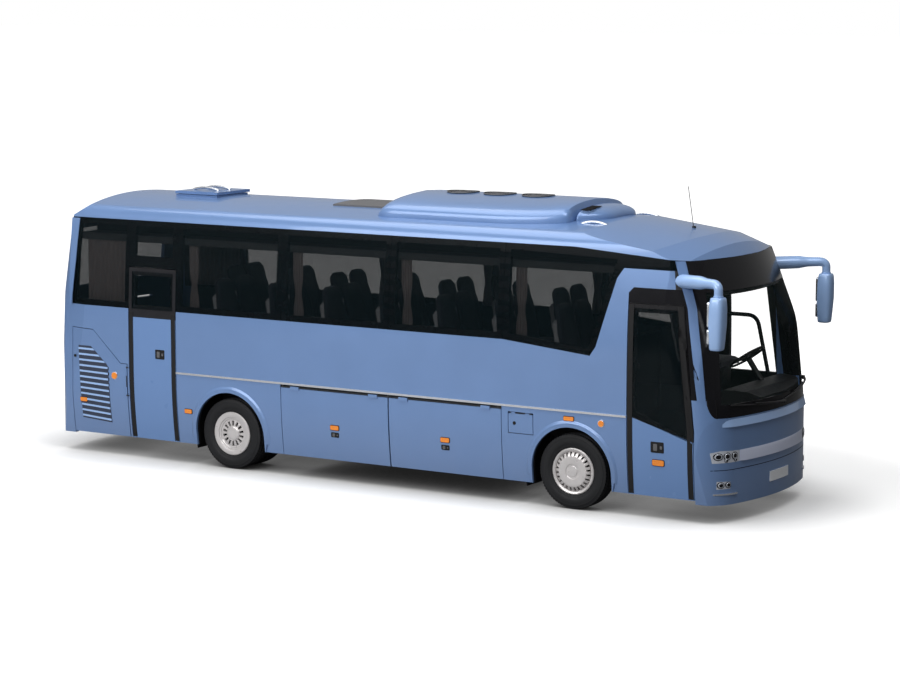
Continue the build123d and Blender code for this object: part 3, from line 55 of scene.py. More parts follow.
def wallY(z):
    # half width at height z: flat in the middle, one arc tucking in below and one leaning in above
    s = wallShape
    low = s["lowRadius"] - np.sqrt(s["lowRadius"] ** 2 - np.minimum(z - s["lowZ"], 0) ** 2)
    high = s["highRadius"] - np.sqrt(s["highRadius"] ** 2 - np.maximum(z - s["highZ"], 0) ** 2)
    return s["half"] - low - high


def planSag(y, planR, cornerR, half):
    # how far the plan arc, and then its corner arc, falls behind the middle at y
    y = np.minimum(np.abs(y), half - 1e-4)
    reach = math.sqrt((planR - cornerR) ** 2 - (half - cornerR) ** 2)
    meetY = planR * (half - cornerR) / (planR - cornerR)
    middle = planR - np.sqrt(planR ** 2 - np.minimum(y, meetY) ** 2)
    corner = planR - reach - np.sqrt(np.maximum(cornerR ** 2 - (y - half + cornerR) ** 2, 1e-9))
    return np.where(y <= meetY, middle, corner)


def noseX(y, z, soft=0.012, base=4.0):
    # front face at y and z: soft minimum of the three leaning rows, from a base that keeps the powers small
    total = 0.0
    for x0, z0, x1, z1, planR, cornerR, half in noseRows:
        run = math.hypot(x1 - x0, z1 - z0)
        riseX, riseZ = (x1 - x0) / run, (z1 - z0) / run
        x = x0 + ((z - z0) * riseX - planSag(y, planR, cornerR, half)) / riseZ
        total = total + np.exp(-(x - base) / soft)
    return base - soft * np.log(total)


def circle(count):
    return np.linspace(0, 2 * np.pi, count, endpoint=False)


def xyz(x, y, z):
    return np.stack(np.broadcast_arrays(x, y, z), -1)


# mesh makers: each gives (points, faces) worked out as whole arrays
def gridFaces(rows, cols, wrapRows=False, wrapCols=False):
    # four corners of every cell of a rows by cols grid, wrapped round where asked
    i = np.arange(rows if wrapRows else rows - 1)
    j = np.arange(cols if wrapCols else cols - 1)
    a, b = (m.ravel() for m in np.meshgrid(i, j, indexing="ij"))
    a2, b2 = (a + 1) % rows, (b + 1) % cols
    return np.stack([a * cols + b, a2 * cols + b, a2 * cols + b2, a * cols + b2], 1)


def outward(points, faces):
    # closed shape of quads and caps, its faces turned so that the signed volume is positive
    faces = [tuple(f) for f in faces]
    p = points[np.array([f for f in faces if len(f) == 4])]
    volume = np.einsum("ij,ij->", p[:, 0], np.cross(p[:, 1], p[:, 2]) + np.cross(p[:, 2], p[:, 3]))
    for f in faces:
        if len(f) > 4:
            q = points[list(f)]
            volume += (np.cross(q[1:-1], q[2:]) @ q[0]).sum()
    return points, faces if volume > 0 else [f[::-1] for f in faces]


def loft(rings):
    # rings: (count, around, 3); skin between closed rings, with both ends capped
    rings = np.asarray(rings, float)
    count, around = rings.shape[:2]
    points = rings.reshape(-1, 3)
    caps = [range(around), range((count - 1) * around, count * around)[::-1]]
    return outward(points, [*gridFaces(count, around, wrapCols=True), *caps])


def tube(path, radius, sides=10, closed=False):
    # circle carried along a path; radius is one number or one for each point
    path = np.asarray(path, float)
    ahead = np.roll(path, -1, 0) - np.roll(path, 1, 0)
    if not closed:
        ahead[0], ahead[-1] = path[1] - path[0], path[-1] - path[-2]
    ahead /= np.linalg.norm(ahead, axis=1, keepdims=True)
    up = np.array([0.0, 0.0, 1.0]) if abs(ahead[:, 2]).max() < 0.95 else np.array([0.31, 0.95, 0.02])
    across = np.cross(ahead, up)
    across /= np.linalg.norm(across, axis=1, keepdims=True)
    lift = np.cross(across, ahead)
    turn = circle(sides)
    size = np.broadcast_to(np.asarray(radius, float), len(path))[:, None, None]
    ring = across[:, None] * np.cos(turn)[None, :, None] + lift[:, None] * np.sin(turn)[None, :, None]
    rings = path[:, None] + ring * size
    if not closed:
        return loft(rings)
    points = rings.reshape(-1, 3)
    return outward(points, gridFaces(len(path), sides, True, True))


def bend(corners, radius=0.05, steps=6):
    # straight runs with each corner cut by a quadratic arc
    corners = np.asarray(corners, float)
    out = [corners[:1]]
    t = np.linspace(0, 1, steps)[:, None]
    for a, b, c in zip(corners[:-2], corners[1:-1], corners[2:]):
        start = b + (a - b) / np.linalg.norm(a - b) * min(radius, np.linalg.norm(a - b) * 0.45)
        end = b + (c - b) / np.linalg.norm(c - b) * min(radius, np.linalg.norm(c - b) * 0.45)
        out.append((1 - t) ** 2 * start + 2 * t * (1 - t) * b + t ** 2 * end)
    return np.concatenate(out + [corners[-1:]])


def lathe(profile, centre, side=1, steps=72, shape=None, pole=None):
    # profile rows (radius, outward) turned about the wheel axle Y; shape may push points with the angle;
    # at rows pole and pole + 1 the turned section is closed across the axis
    profile = np.asarray(profile, float)
    turn = circle(steps)
    r = np.repeat(profile[None, :, 0], steps, 0)
    h = np.repeat(profile[None, :, 1], steps, 0)
    if shape:
        r, h = shape(turn[:, None], r, h)
    points = np.stack([r * np.cos(turn)[:, None], side * h, r * np.sin(turn)[:, None]], -1).reshape(-1, 3)
    points = points + np.asarray(centre, float)
    count = len(profile)
    quads = gridFaces(steps, count, True, True)
    if pole is None:
        return outward(points, quads)
    ring = np.arange(steps) * count + pole
    return outward(points, [*quads[quads[:, 0] % count != pole], ring, ring[::-1] + 1])


def superRing(count, powerA, powerB):
    # unit superellipse: cos t and sin t, each raised to its own power
    turn = circle(count)
    pairs = ((np.cos(turn), powerA), (np.sin(turn), powerB))
    return np.stack([np.sign(c) * abs(c) ** power for c, power in pairs], -1)


def ringsUp(ring, x, y, z, halfX, halfY):
    # the ring set at each height z about (x, y), with half sizes that go with the height
    x, y, z, halfX, halfY = [np.broadcast_to(v, z.shape)[:, None] for v in (x, y, z, halfX, halfY)]
    return xyz(x + ring[:, 0] * halfX, y + ring[:, 1] * halfY, z)


def roundBox(low, high, edge, steps=6):
    # superellipse rings from face to face, drawn in at both ends: a block with soft edges
    low, high = np.asarray(low, float), np.asarray(high, float)
    mid, half = (low + high) / 2, (high - low) / 2
    v = np.linspace(-0.48 * np.pi, 0.48 * np.pi, steps)
    rise = np.sign(np.sin(v)) * abs(np.sin(v)) ** edge
    draw = abs(np.cos(v)) ** edge
    return loft(ringsUp(superRing(24, edge, edge), mid[0], mid[1], mid[2] + half[2] * rise,
                        half[0] * draw, half[1] * draw))


def slab(outline, place, front, back):
    # flat outline rows (a, b) set at two depths by place(a, b, depth)
    a, b = np.asarray(outline, float).T
    return loft([place(a, b, depth) for depth in (back, front)])


def shell(lower, upper, rows, cols):
    # two grids of points, one over the other, closed round their rim
    n = rows * cols
    points = np.concatenate([lower, upper])
    cells = gridFaces(rows, cols)
    rim = np.concatenate([np.arange(cols), np.arange(1, rows) * cols + cols - 1,
                          n - 1 - np.arange(1, cols), (np.arange(1, rows - 1) * cols)[::-1]])
    after = np.roll(rim, -1)
    wall = np.stack([rim, after, after + n, rim + n], 1)
    faces = np.concatenate([cells[:, ::-1], cells + n, wall])
    return outward(points, faces)


def patch(place, aRange, bRange, front, back, steps):
    # sheet on a curved surface: a grid in (a, b) at the front depth over one at the back depth
    a, b = np.meshgrid(np.linspace(*aRange, steps[0]), np.linspace(*bRange, steps[1]), indexing="ij")
    depths = [d(a, b) if callable(d) else np.full(a.shape, d) for d in (back, front)]
    return shell(*[place(a.ravel(), b.ravel(), d.ravel()) for d in depths], *steps)


def flankY(x, z):
    # half width at x and z: the wall, or the corner arc of the nose rows where that is narrower
    y = wallY(z)
    for x0, z0, x1, z1, planR, cornerR, half in noseRows:
        run = math.hypot(x1 - x0, z1 - z0)
        sag = (z - z0) * (x1 - x0) / run - (x - x0) * (z1 - z0) / run
        reach = math.sqrt((planR - cornerR) ** 2 - (half - cornerR) ** 2)
        past = np.clip(planR - reach - sag, 0, cornerR)
        y = np.where(past > 0, np.minimum(y, half - cornerR + np.sqrt(cornerR ** 2 - past ** 2)), y)
    return y


def onWall(side):
    # (x, z, depth) on the side wall, depth outward
    return lambda x, z, d: xyz(x, side * (flankY(x, z) + d), z)


def onNose(y, z, d):
    # (y, z, depth) on the front face, depth forward
    return xyz(noseX(y, z) + d, y, z)


def roundRect(a, b, w, h, r=None, steps=5):
    # outline of a rectangle centred on (a, b) with quarter-circle corners
    r = min(w, h) * 0.25 if r is None else r
    t = np.linspace(0, np.pi / 2, steps)
    rows = []
    for k, (sa, sb) in enumerate([(1, 1), (-1, 1), (-1, -1), (1, -1)]):
        rows.append(np.stack([a + sa * (w / 2 - r) + r * np.cos(t + k * np.pi / 2),
                              b + sb * (h / 2 - r) + r * np.sin(t + k * np.pi / 2)], -1))
    return np.concatenate(rows)


def join(shapes):
    points, faces, start = [], [], 0
    for p, f in shapes:
        points.append(p)
        faces += [tuple(int(i) + start for i in face) for face in f]
        start += len(p)
    return np.concatenate(points), faces


def addPiece(name, shapes, material, body, replaces=(), sharp=38, bevel=0.0):
    points, faces = join(shapes)
    mesh = bpy.data.meshes.new(name)
    mesh.from_pydata(points, [], faces)
    mesh.polygons.foreach_set("use_smooth", np.ones(len(mesh.polygons), bool))
    mesh.set_sharp_from_angle(angle=math.radians(sharp))
    mesh.materials.append(material)
    piece = bpy.data.objects.new(name, mesh)
    scene.collection.objects.link(piece)
    if bevel:
        edge = piece.modifiers.new("edge", "BEVEL")
        edge.width, edge.segments, edge.limit_method = bevel, 2, "ANGLE"
    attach(piece, body)
    if replaces:
        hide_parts(*replaces)
    return piece


# finishes: shader nodes are laid by these; an input is a value or another node's output
def feed(tree, node, inputs):
    for key, value in inputs.items():
        if isinstance(value, bpy.types.NodeSocket):
            tree.links.new(value, node.inputs[key])
        else:
            node.inputs[key].default_value = value


def addNode(tree, kind, inputs, out=None, **settings):
    node = tree.nodes.new("ShaderNode" + kind)
    for key, value in settings.items():
        setattr(node, key, value)
    feed(tree, node, inputs)
    return node.outputs if out is None else node.outputs[out]


def calc(tree, operation, *values):
    return addNode(tree, "Math", dict(enumerate(values)), "Value", operation=operation)


def mixed(tree, factor, a, b, kind="RGBA"):
    return addNode(tree, "Mix", {"Factor": factor, "A": a, "B": b}, "Result", data_type=kind)


def remap(tree, value, start, end, kind="LINEAR"):
    inputs = {"Value": value, "From Min": start[0], "From Max": start[1], "To Min": end[0], "To Max": end[1]}
    return addNode(tree, "MapRange", inputs, "Result", interpolation_type=kind)


def placeXYZ(tree, space="Object"):
    return addNode(tree, "SeparateXYZ", {"Vector": addNode(tree, "TexCoord", {}, space)})


finishKit = dict(wear=0.25, coatRough=0.04, dustTone=(0.25, 0.23, 0.21, 1), dustZ=(0.9, 0.2),
                 liningTone=(0.012, 0.012, 0.014, 1), liningX=(-4.20, 4.10), skin=0.018,
                 cabY=0.6, cabX=3.0, cabAlpha=0.04)


def newFinish(name, colour, rough, vary, scale, grain, bump, depth=0.001, metal=0.0, coat=0.0, specular=0.5,
              alpha=1.0, sheen=0.0, dust=0.0, stretch=(1, 1, 1), lining=False, clearCab=False):
    # base colour and roughness drift with a slow noise of this scale, and a fine grain lifts the surface
    k = finishKit
    mat = bpy.data.materials.new(name)
    mat.use_nodes = True
    tree = mat.node_tree
    where = addNode(tree, "TexCoord", {}, "Object")
    spread = addNode(tree, "Mapping", {"Vector": where, "Scale": stretch}, "Vector")
    slow, fine = [addNode(tree, "TexNoise", {"Vector": spread, "Scale": size, "Detail": detail}, "Fac")
                  for size, detail in ((scale, 4.0), (grain, 2.0))]
    x, y, z = placeXYZ(tree)
    tint = mixed(tree, slow, *[(*[min(1, c * (1 + shift)) for c in colour], 1) for shift in (-vary, vary)])
    if dust:                                  # road dust gathers low on the coach
        patchy = calc(tree, "MULTIPLY", remap(tree, z, k["dustZ"], (0, dust)), slow)
        tint = mixed(tree, patchy, tint, k["dustTone"])
    if lining:                                # behind the outer skin the panel is bare dark trim
        tint = mixed(tree, skinMask(tree, x, y, z), tint, k["liningTone"])
    if clearCab:                              # the driver's own side pane carries no tint
        side, ahead = calc(tree, "GREATER_THAN", y, k["cabY"]), calc(tree, "GREATER_THAN", x, k["cabX"])
        alpha = remap(tree, calc(tree, "MULTIPLY", side, ahead), (0, 1), (alpha, k["cabAlpha"]))
    worn = (max(0.01, rough * (1 - k["wear"])), min(1.0, rough * (1 + k["wear"])))
    feed(tree, tree.nodes["Principled BSDF"], {
        "Base Color": tint, "Roughness": remap(tree, slow, (0, 1), worn), "Metallic": metal, "Alpha": alpha,
        "Coat Weight": coat, "Coat Roughness": k["coatRough"], "Specular IOR Level": specular, "Sheen Weight": sheen,
        "Normal": addNode(tree, "Bump", {"Strength": bump, "Distance": depth, "Height": fine}, "Normal")})
    return mat


def skinMask(tree, x, y, z):
    # 1 where |y| is less than the wall's half width by the skin's 18 mm: w = half - low^2 / 12 - high^2 / 20
    s, k = wallShape, finishKit
    low = calc(tree, "MAXIMUM", calc(tree, "SUBTRACT", s["lowZ"], z), 0.0)
    high = calc(tree, "MAXIMUM", calc(tree, "SUBTRACT", z, s["highZ"]), 0.0)
    half = s["half"] - k["skin"]
    for past, radius in ((low, s["lowRadius"]), (high, s["highRadius"])):
        sag = calc(tree, "MULTIPLY", calc(tree, "MULTIPLY", past, past), 0.5 / radius)
        half = calc(tree, "SUBTRACT", half, sag)
    inside = calc(tree, "LESS_THAN", calc(tree, "ABSOLUTE", y), half)
    inside = calc(tree, "MULTIPLY", inside, calc(tree, "LESS_THAN", x, k["liningX"][1]))
    return calc(tree, "MULTIPLY", inside, calc(tree, "GREATER_THAN", x, k["liningX"][0]))


def twoTone(mat, colour, line):
    # below the line z = a + b x the second colour takes over
    tree = mat.node_tree
    bsdf = tree.nodes["Principled BSDF"]
    x, y, z = placeXYZ(tree)
    below = calc(tree, "LESS_THAN", z, calc(tree, "MULTIPLY_ADD", x, line[1], line[0]))
    first = bsdf.inputs["Base Color"].links[0].from_socket
    feed(tree, bsdf, {"Base Color": mixed(tree, below, first, (*colour, 1))})
    return mat


blueTone = (0.138, 0.242, 0.470)
enamel = dict(vary=0.05, grain=2600, bump=0.04, depth=0.0004)
coachEnamel = dict(enamel, rough=0.34, metal=0.22, coat=0.5, scale=2.2, dust=0.20)
smoothBlack = dict(vary=0.2, scale=5, grain=900, bump=0.02, depth=0.0003)
pane = dict(scale=1.5, grain=60, bump=0.01, depth=0.0002)
bluePaint = newFinish("coachBlue", blueTone, **coachEnamel)
wallPaint = newFinish("wallBlue", blueTone, **coachEnamel, lining=True)
# lighter copy of the coach blue, painted light: lit mirror cases, a painted highlight on the ledge under the screen,
# and lit louvre slats
litBluePaint = newFinish("litCoachBlue", (0.30, 0.46, 0.76), 0.34, metal=0.1, coat=0.5, scale=3, **enamel)
# pale blue, a painted sky reflection on the nose strip
skyReflectPaint = newFinish("skyReflectBlue", (0.60, 0.65, 0.82), 0.3, metal=0.2, coat=0.4, scale=4, **dict(enamel, bump=0.03))
glossBlack = newFinish("windowBlack", (0.006, 0.006, 0.008), 0.16, specular=0.22, **smoothBlack)
frontDoorPaint = twoTone(newFinish("frontDoorBlack", (0.008, 0.008, 0.010), 0.25, specular=0.3, **smoothBlack),
                         blueTone, (2.098, -0.286))
rearDoorPaint = twoTone(newFinish("rearDoorBlack", (0.012, 0.012, 0.015), 0.3, specular=0.3, **smoothBlack),
                        blueTone, (1.74, 0.0))
sideGlass = newFinish("tintedGlass", (0.004, 0.008, 0.010), 0.03, specular=0.10, vary=0.15, alpha=0.52,
                      clearCab=True, **pane)
clearGlass = newFinish("screenGlass", (0.06, 0.10, 0.10), 0.02, specular=0.12, vary=0.1, alpha=0.05, **pane)
# name, colour, roughness, then vary, scale, grain, bump and depth
brightRail = newFinish("brightRail", (0.62, 0.64, 0.68), 0.22, 0.06, 14, 900, 0.04, 0.0003, metal=0.9)
lampClear = newFinish("lampLens", (0.62, 0.66, 0.74), 0.08, 0.2, 60, 240, 0.25, 0.002, metal=0.3, coat=0.5)
lampRed = newFinish("redLens", (0.42, 0.015, 0.012), 0.12, 0.15, 40, 260, 0.3, 0.002, coat=0.5)
amberLens = newFinish("amberLens", (0.85, 0.25, 0.02), 0.14, 0.15, 60, 320, 0.25, 0.0015, coat=0.4)
chassisSteel = newFinish("chassisSteel", (0.028, 0.029, 0.032), 0.55, 0.3, 12, 240, 0.15, metal=0.3, dust=0.4)
engineIron = newFinish("engineIron", (0.045, 0.045, 0.048), 0.6, 0.3, 18, 160, 0.3, 0.002, metal=0.5)
floorCover = newFinish("floorCover", (0.035, 0.036, 0.04), 0.7, 0.25, 30, 600, 0.3)
dashPlastic = newFinish("dashPlastic", (0.006, 0.006, 0.007), 0.5, 0.2, 20, 1100, 0.35, 0.0008, specular=0.35)
innerTrim = newFinish("innerTrim", (0.10, 0.10, 0.105), 0.6, 0.15, 16, 900, 0.25, 0.0008)
seatCloth = newFinish("seatCloth", (0.035, 0.038, 0.055), 0.85, 0.35, 70, 1500, 0.5, 0.0012, sheen=0.3)
seatShell = newFinish("seatShell", (0.60, 0.60, 0.62), 0.5, 0.1, 14, 1000, 0.2, 0.0006)
curtainCloth = newFinish("curtainCloth", (0.44, 0.37, 0.36), 0.9, 0.2, 24, 1400, 0.5, sheen=0.25, stretch=(6, 6, 1))
flapRubber = newFinish("flapRubber", (0.010, 0.010, 0.011), 0.7, 0.3, 18, 500, 0.3, specular=0.25)
tyreRubber = newFinish("tyreRubber", (0.007, 0.0075, 0.009), 0.62, 0.3, 14, 420, 0.3, specular=0.3)
wheelSilver = newFinish("wheelSilver", (0.60, 0.575, 0.57), 0.3, 0.08, 16, 1400, 0.06, 0.0004, metal=0.45, coat=0.2)
# near black: painted shade at the floors of the wheel slots and in the roof vents, dark fans with the shade of their
# wells, and the real dark nose seam and lamp bezels
slotBlack = newFinish("slotBlack", (0.004, 0.004, 0.005), 0.7, 0.3, 20, 600, 0.2, specular=0.15)

finishNodes = [
    (wallPaint, "arch_panels side_panels door_surround engine_flap filler_flap lid_right_rear lid_right_front "
                "lid_left_rear lid_left_front"),
    (bluePaint, "front_panel roof_panel roof_front_cap roof_unit roof_hatch back_panel back_bumper front_bumper "
                "engine_lid"),
    (litBluePaint, "mirrors"), (frontDoorPaint, "front_door"), (rearDoorPaint, "rear_door"),
    (glossBlack, "front_pillars window_frames"), (sideGlass, "body_windows front_door_glass rear_door_glass"),
    (clearGlass, "windscreen"), (brightRail, "side_rails"), (lampClear, "head_lamps"), (lampRed, "tail_lamps"),
    (chassisSteel, "chassis_frame front_axle rear_axle knuckle_left knuckle_right tie_rod hinge_rods "
                   "front_door_arm rear_door_arm"),
    (engineIron, "engine_block"), (innerTrim, "luggage_hold luggage_racks"), (floorCover, "cabin_floor stepwells"),
    (seatCloth, "seat_cushions seat_backs"), (curtainCloth, "curtains"), (flapRubber, "mud_flaps")]
nodeFinish = {name: finish for finish, names in finishNodes for name in names.split()}
for nodeName, node in nodes.items():
    other = tyreRubber if "tyre" in nodeName else wheelSilver if "rim" in nodeName else dashPlastic
    node.data.materials.clear()
    node.data.materials.append(nodeFinish.get(nodeName, other))
print("finishes:", len(bpy.data.materials))

# wheels
wheel = dict(steps=144, grooves=(-0.078, -0.027, 0.027, 0.078), grooveWide=0.011, grooveDeep=0.013,
             frontSlots=24, rearSlots=14, lugs=72, face=1.128, slotDeep=0.030, shoulderR=0.408, beadR=0.258,
             rings=((0.2, 0.025, 0.0025), (0.83, 0.03, 0.003), (0.5, 0.02, 0.002)))   # place, half width, height


def tyreShape(centre, inner, outer, side):
    # crowned tread with four grooves, rounded shoulders, bulging walls with raised rings, and the bead;
    # the shoulder blocks step in and out with the angle
    s = wheel
    mid, half = (inner + outer) / 2, (outer - inner) / 2
    w = np.linspace(-1, 1, 49) * (half - 0.022)
    tread = coach["tyreRadius"] - 0.006 * (w / half) ** 2
    for g in s["grooves"]:
        tread = tread - s["grooveDeep"] * np.clip(1.6 - abs(w - g * half / 0.125) / s["grooveWide"] * 2, 0, 1)
    t = np.linspace(0, 1, 26)
    wallR = s["shoulderR"] - (s["shoulderR"] - s["beadR"]) * t
    bulge = half - 0.010 + 0.010 * np.sin(np.pi * np.clip(t * 1.15, 0, 1)) - 0.030 * np.clip(t - 0.62, 0, 1)
    for at, wide, high in s["rings"]:
        bulge = bulge + high * (abs(t - at) < wide)
    shoulder = np.stack([[0.4185, 0.4150], [half - 0.014, half - 0.009]], -1)
    outerHalf = np.concatenate([shoulder, np.stack([wallR, bulge], -1)])
    profile = np.concatenate([outerHalf[::-1] * (1, -1), np.stack([tread, w], -1), outerHalf])
    profile[:, 1] += mid

    def lugs(turn, r, h):
        edge = np.clip((abs(h - mid) - half * 0.70) / (half * 0.12), 0, 1) * (r > 0.405)
        cut = (np.sin(turn * s["lugs"]) > 0.25) * 0.007
        return r - edge * cut, h

    return lathe(profile, centre, side, s["steps"] * 3, lugs)


def rimShape(centre, barrel, side, front):
    # closed turned section: the trim's face with its ring of slots let in, back of the dish, and barrel;
    # rows are radius and height over the face in mm
    s = wheel
    if front:                                  # bright lip, dark step, slotted shoulder, wide dome
        rows = [(262, -6), (259, 4), (250, 9), (234, 6), (224, -2), (221, -16), (217, -16), (215.5, -4), (213, 0),
                (205, 6), (197, 10), (189, 13.5), (181, 17), (174, 20), (170, 21), (150, 22), (110, 21), (86, 19),
                (82, 14), (60, 13), (56, 17), (30, 18), (0.5, 18)]
        slotIn, slotOut, count, duty = 0.180, 0.2145, s["frontSlots"], 0.20
    else:                                      # bright flange, two steps, slotted disc, flat cap
        rows = [(262, -6), (259, 4), (252, 9), (236, 10), (205, 4), (198, 2), (192, -8), (178, -10), (172, -18),
                (160, -20), (151, -20), (149.5, -19), (140, -18), (120, -17), (100, -16), (93.5, -16), (92, -15),
                (86, -12), (80, -6), (74, -4), (40, -3), (0.5, -3)]
        slotIn, slotOut, count, duty = 0.093, 0.1505, s["rearSlots"], 0.22
    dish = [(0.5, -60), (150, -62), (205, -75), (236, -90)]
    profile = np.concatenate([np.array(rows + dish) / 1000 + (0, s["face"]),
                              [(0.236, barrel + 0.004), (0.262, barrel)]])

    def slots(turn, r, h):
        inside = (r > slotIn) * (r < slotOut) * (h > s["face"] - 0.05)
        beat = abs(((turn * count / (2 * np.pi)) % 1) - 0.5) < duty
        return r, h - s["slotDeep"] * inside * beat

    return lathe(profile, centre, side, s["steps"] * (3 if front else 2), slots, len(rows) - 1)


for sideName, side in (("left", 1), ("right", -1)):
    for axle, x, barrel in (("front", coach["frontAxleX"], 0.905), ("rear", coach["rearAxleX"], 0.618)):
        hub = (x, 0, coach["axleZ"])
        body = f"{axle}_wheel_{sideName}"
        spans = [(0.895, 1.145)] + ([(0.61, 0.86)] if axle == "rear" else [])
        addPiece(f"{axle}_tyre_tread_{sideName}", [tyreShape(hub, a, b, side) for a, b in spans], tyreRubber,
                 body, [f"{axle}_tyre_{sideName}"], sharp=30)
        addPiece(f"{axle}_trim_{sideName}", [rimShape(hub, barrel, side, axle == "front")], wheelSilver,
                 body, [f"{axle}_rim_{sideName}"], sharp=30)
        # a dark ring at the floor of the slots: painted shade in the slot recesses
        a, b, h0, h1 = (0.181, 0.214, 1.119, 1.100) if axle == "front" else (0.094, 0.150, 1.088, 1.084)
        section = [(a, h0), (b, h1), (b, h1 - 0.002), (a, h0 - 0.002)]
        addPiece(f"{axle}_slot_shade_ring_{sideName}", [lathe(section, hub, side)], slotBlack, body)
print("wheels done")

# windscreen
screen = dict(lowZ=1.152, highZ=2.812, lowHalf=1.083, highHalf=0.998, inset=0.004, thick=0.006)


def screenPlace(u, v, depth):
    # u runs across from -1 to 1 and v up from 0 to 1, on the front face
    s = screen
    z = s["lowZ"] + v * (s["highZ"] - s["lowZ"])
    y = u * (s["lowHalf"] + v * (s["highHalf"] - s["lowHalf"]))
    return onNose(y, z, depth - s["inset"])


addPiece("windscreen_glass", [patch(screenPlace, (-1, 1), (0, 1), 0.0, -screen["thick"], (64, 40))], clearGlass,
         "body", ["windscreen"], sharp=50)
border = [((-1, 1), (0, 0.085)), ((-1, 1), (0.80, 1)), ((-1, -0.955), (0.08, 0.81)),
          ((0.955, 1), (0.08, 0.81))]
addPiece("windscreen_border", [patch(screenPlace, a, b, 0.0012, -0.0075, (48, 12)) for a, b in border],
         glossBlack, "body", sharp=50)
print("windscreen done")

# mirrors: bent arm, neck ring and tapered head on each side
mirror = dict(rootX=3.98, rootY=1.06, elbowX=4.38, elbowY=1.27, headX=4.585, headY=1.372, armZ=2.622,
              topZ=2.50, footZ=1.932, glassX=4.492)


def mirrorShapes(side):
    # arm: round tube on a bent line; head: superellipse rings that taper to the foot
    m = mirror
    x, y, top = m["headX"], side * m["headY"], m["topZ"] - 0.006
    path = bend([(m["rootX"], side * m["rootY"], m["armZ"] - 0.02), (m["elbowX"], side * m["elbowY"], m["armZ"]),
                 (x, y, m["armZ"] + 0.004), (x, y, m["topZ"] - 0.02)], 0.085, 9)
    along = np.linspace(0, 1, len(path))
    arm = tube(path, np.interp(along, [0, 0.3, 0.7, 1], [0.076, 0.056, 0.050, 0.047]), 16)
    neck = tube([(x, y, z) for z in (2.512, 2.509, 2.494, 2.491)], [0.049, 0.053, 0.053, 0.049], 24)
    v = np.array([0, 0.004, 0.02, 0.06, 0.2, 0.5, 0.8, 0.94, 0.98, 0.995, 1.0])
    size = np.array([0.55, 0.72, 0.80, 0.86, 0.93, 1.0, 0.985, 0.96, 0.93, 0.84, 0.70])
    size = size * np.interp(v, [0, 0.35, 1], [1, 1, 0.80])
    head = ringsUp(superRing(32, 0.6, 0.6), x - 0.012 * v, y, top - v * (top - m["footZ"]),
                   0.092 * size, 0.095 * size)
    return [arm, neck, loft(head)]


def behindMirror(y, z, d):
    return xyz(mirror["glassX"] + d, y, z)


# the mirror cases, like the CAD mirrors, take the lighter blue: painted light on their lit faces
addPiece("mirror_cases", mirrorShapes(-1) + mirrorShapes(1), litBluePaint, "body", ["mirrors"])
glassRows = [(side, z0, z1) for side in (-1, 1) for z0, z1 in ((1.995, 2.155), (2.175, 2.445))]
glasses = [slab(roundRect(side * mirror["headY"], (z0 + z1) / 2, 0.135, z1 - z0, 0.02), behindMirror, -0.004, 0.02)
           for side, z0, z1 in glassRows]
addPiece("mirror_glasses", glasses, brightRail, "body")
print("mirrors done")

# seats: crowned pads, leaning backs with head rolls, pale shells behind
seat = dict(rightFirst=-2.05, leftFirst=-2.83, pitch=0.78, rows=7, deep=0.44, low=1.45, high=1.57, wide=0.412,
            outer=1.058, floor=1.10, driverX=3.33, driverY=0.565, crown=0.018, pull=0.02, grid=(14, 12))


def crowned(low, high):
    # pad: flat underneath, top raised by cos u cos v, sides drawn in between the corners
    low, high = np.asarray(low, float), np.asarray(high, float)
    u, v = np.meshgrid(*[np.linspace(-1, 1, count) for count in seat["grid"]], indexing="ij")
    bowU, bowV = np.cos(u * np.pi / 2), np.cos(v * np.pi / 2)
    mid, half = (low + high) / 2, (high - low) / 2
    edge = np.clip(1 - np.maximum(abs(u), abs(v)) ** 8, 0, 1) ** 0.5
    x = mid[0] + half[0] * u * (1 - seat["pull"] * bowV)
    y = mid[1] + half[1] * v * (1 - seat["pull"] * bowU)
    welt = 0.006 * np.exp(-((abs(v) - 0.62) / 0.06) ** 2)
    top = high[2] - seat["crown"] + (seat["crown"] * bowU * bowV - welt) * edge - 0.03 * (1 - edge)
    lower, upper = [xyz(x, y, z).reshape(-1, 3) for z in (low[2], top)]
    return shell(lower, upper, *seat["grid"])


def seatBack(x, y, wide, grow=0.0, push=0.0, low=1.512, high=2.238):
    # rings up the back: superellipse plan, thinner at the top, leaning back, with a head roll near the top
    v = np.linspace(0, 1, 15)
    front = x - 0.004 - 0.166 * v - push
    rear = x - 0.102 - 0.146 * v - push - grow
    roll = 0.014 * np.exp(-((v - 0.88) / 0.08) ** 2) - 0.010 * np.exp(-((v - 0.72) / 0.06) ** 2)
    taper = np.interp(v, [0, 0.1, 0.6, 0.74, 0.86, 0.96, 1], [0.94, 0.98, 1, 0.86, 0.80, 0.74, 0.5])
    halfDeep = (front - rear) / 2 * np.interp(v, [0, 0.05, 0.95, 1], [0.8, 1, 1, 0.55]) + roll * 0.5
    return loft(ringsUp(superRing(28, 0.55, 0.45), (front + rear) / 2, y, low + v * (high - low),
                        halfDeep, (wide / 2 - 0.010 + grow * 0.3) * taper))


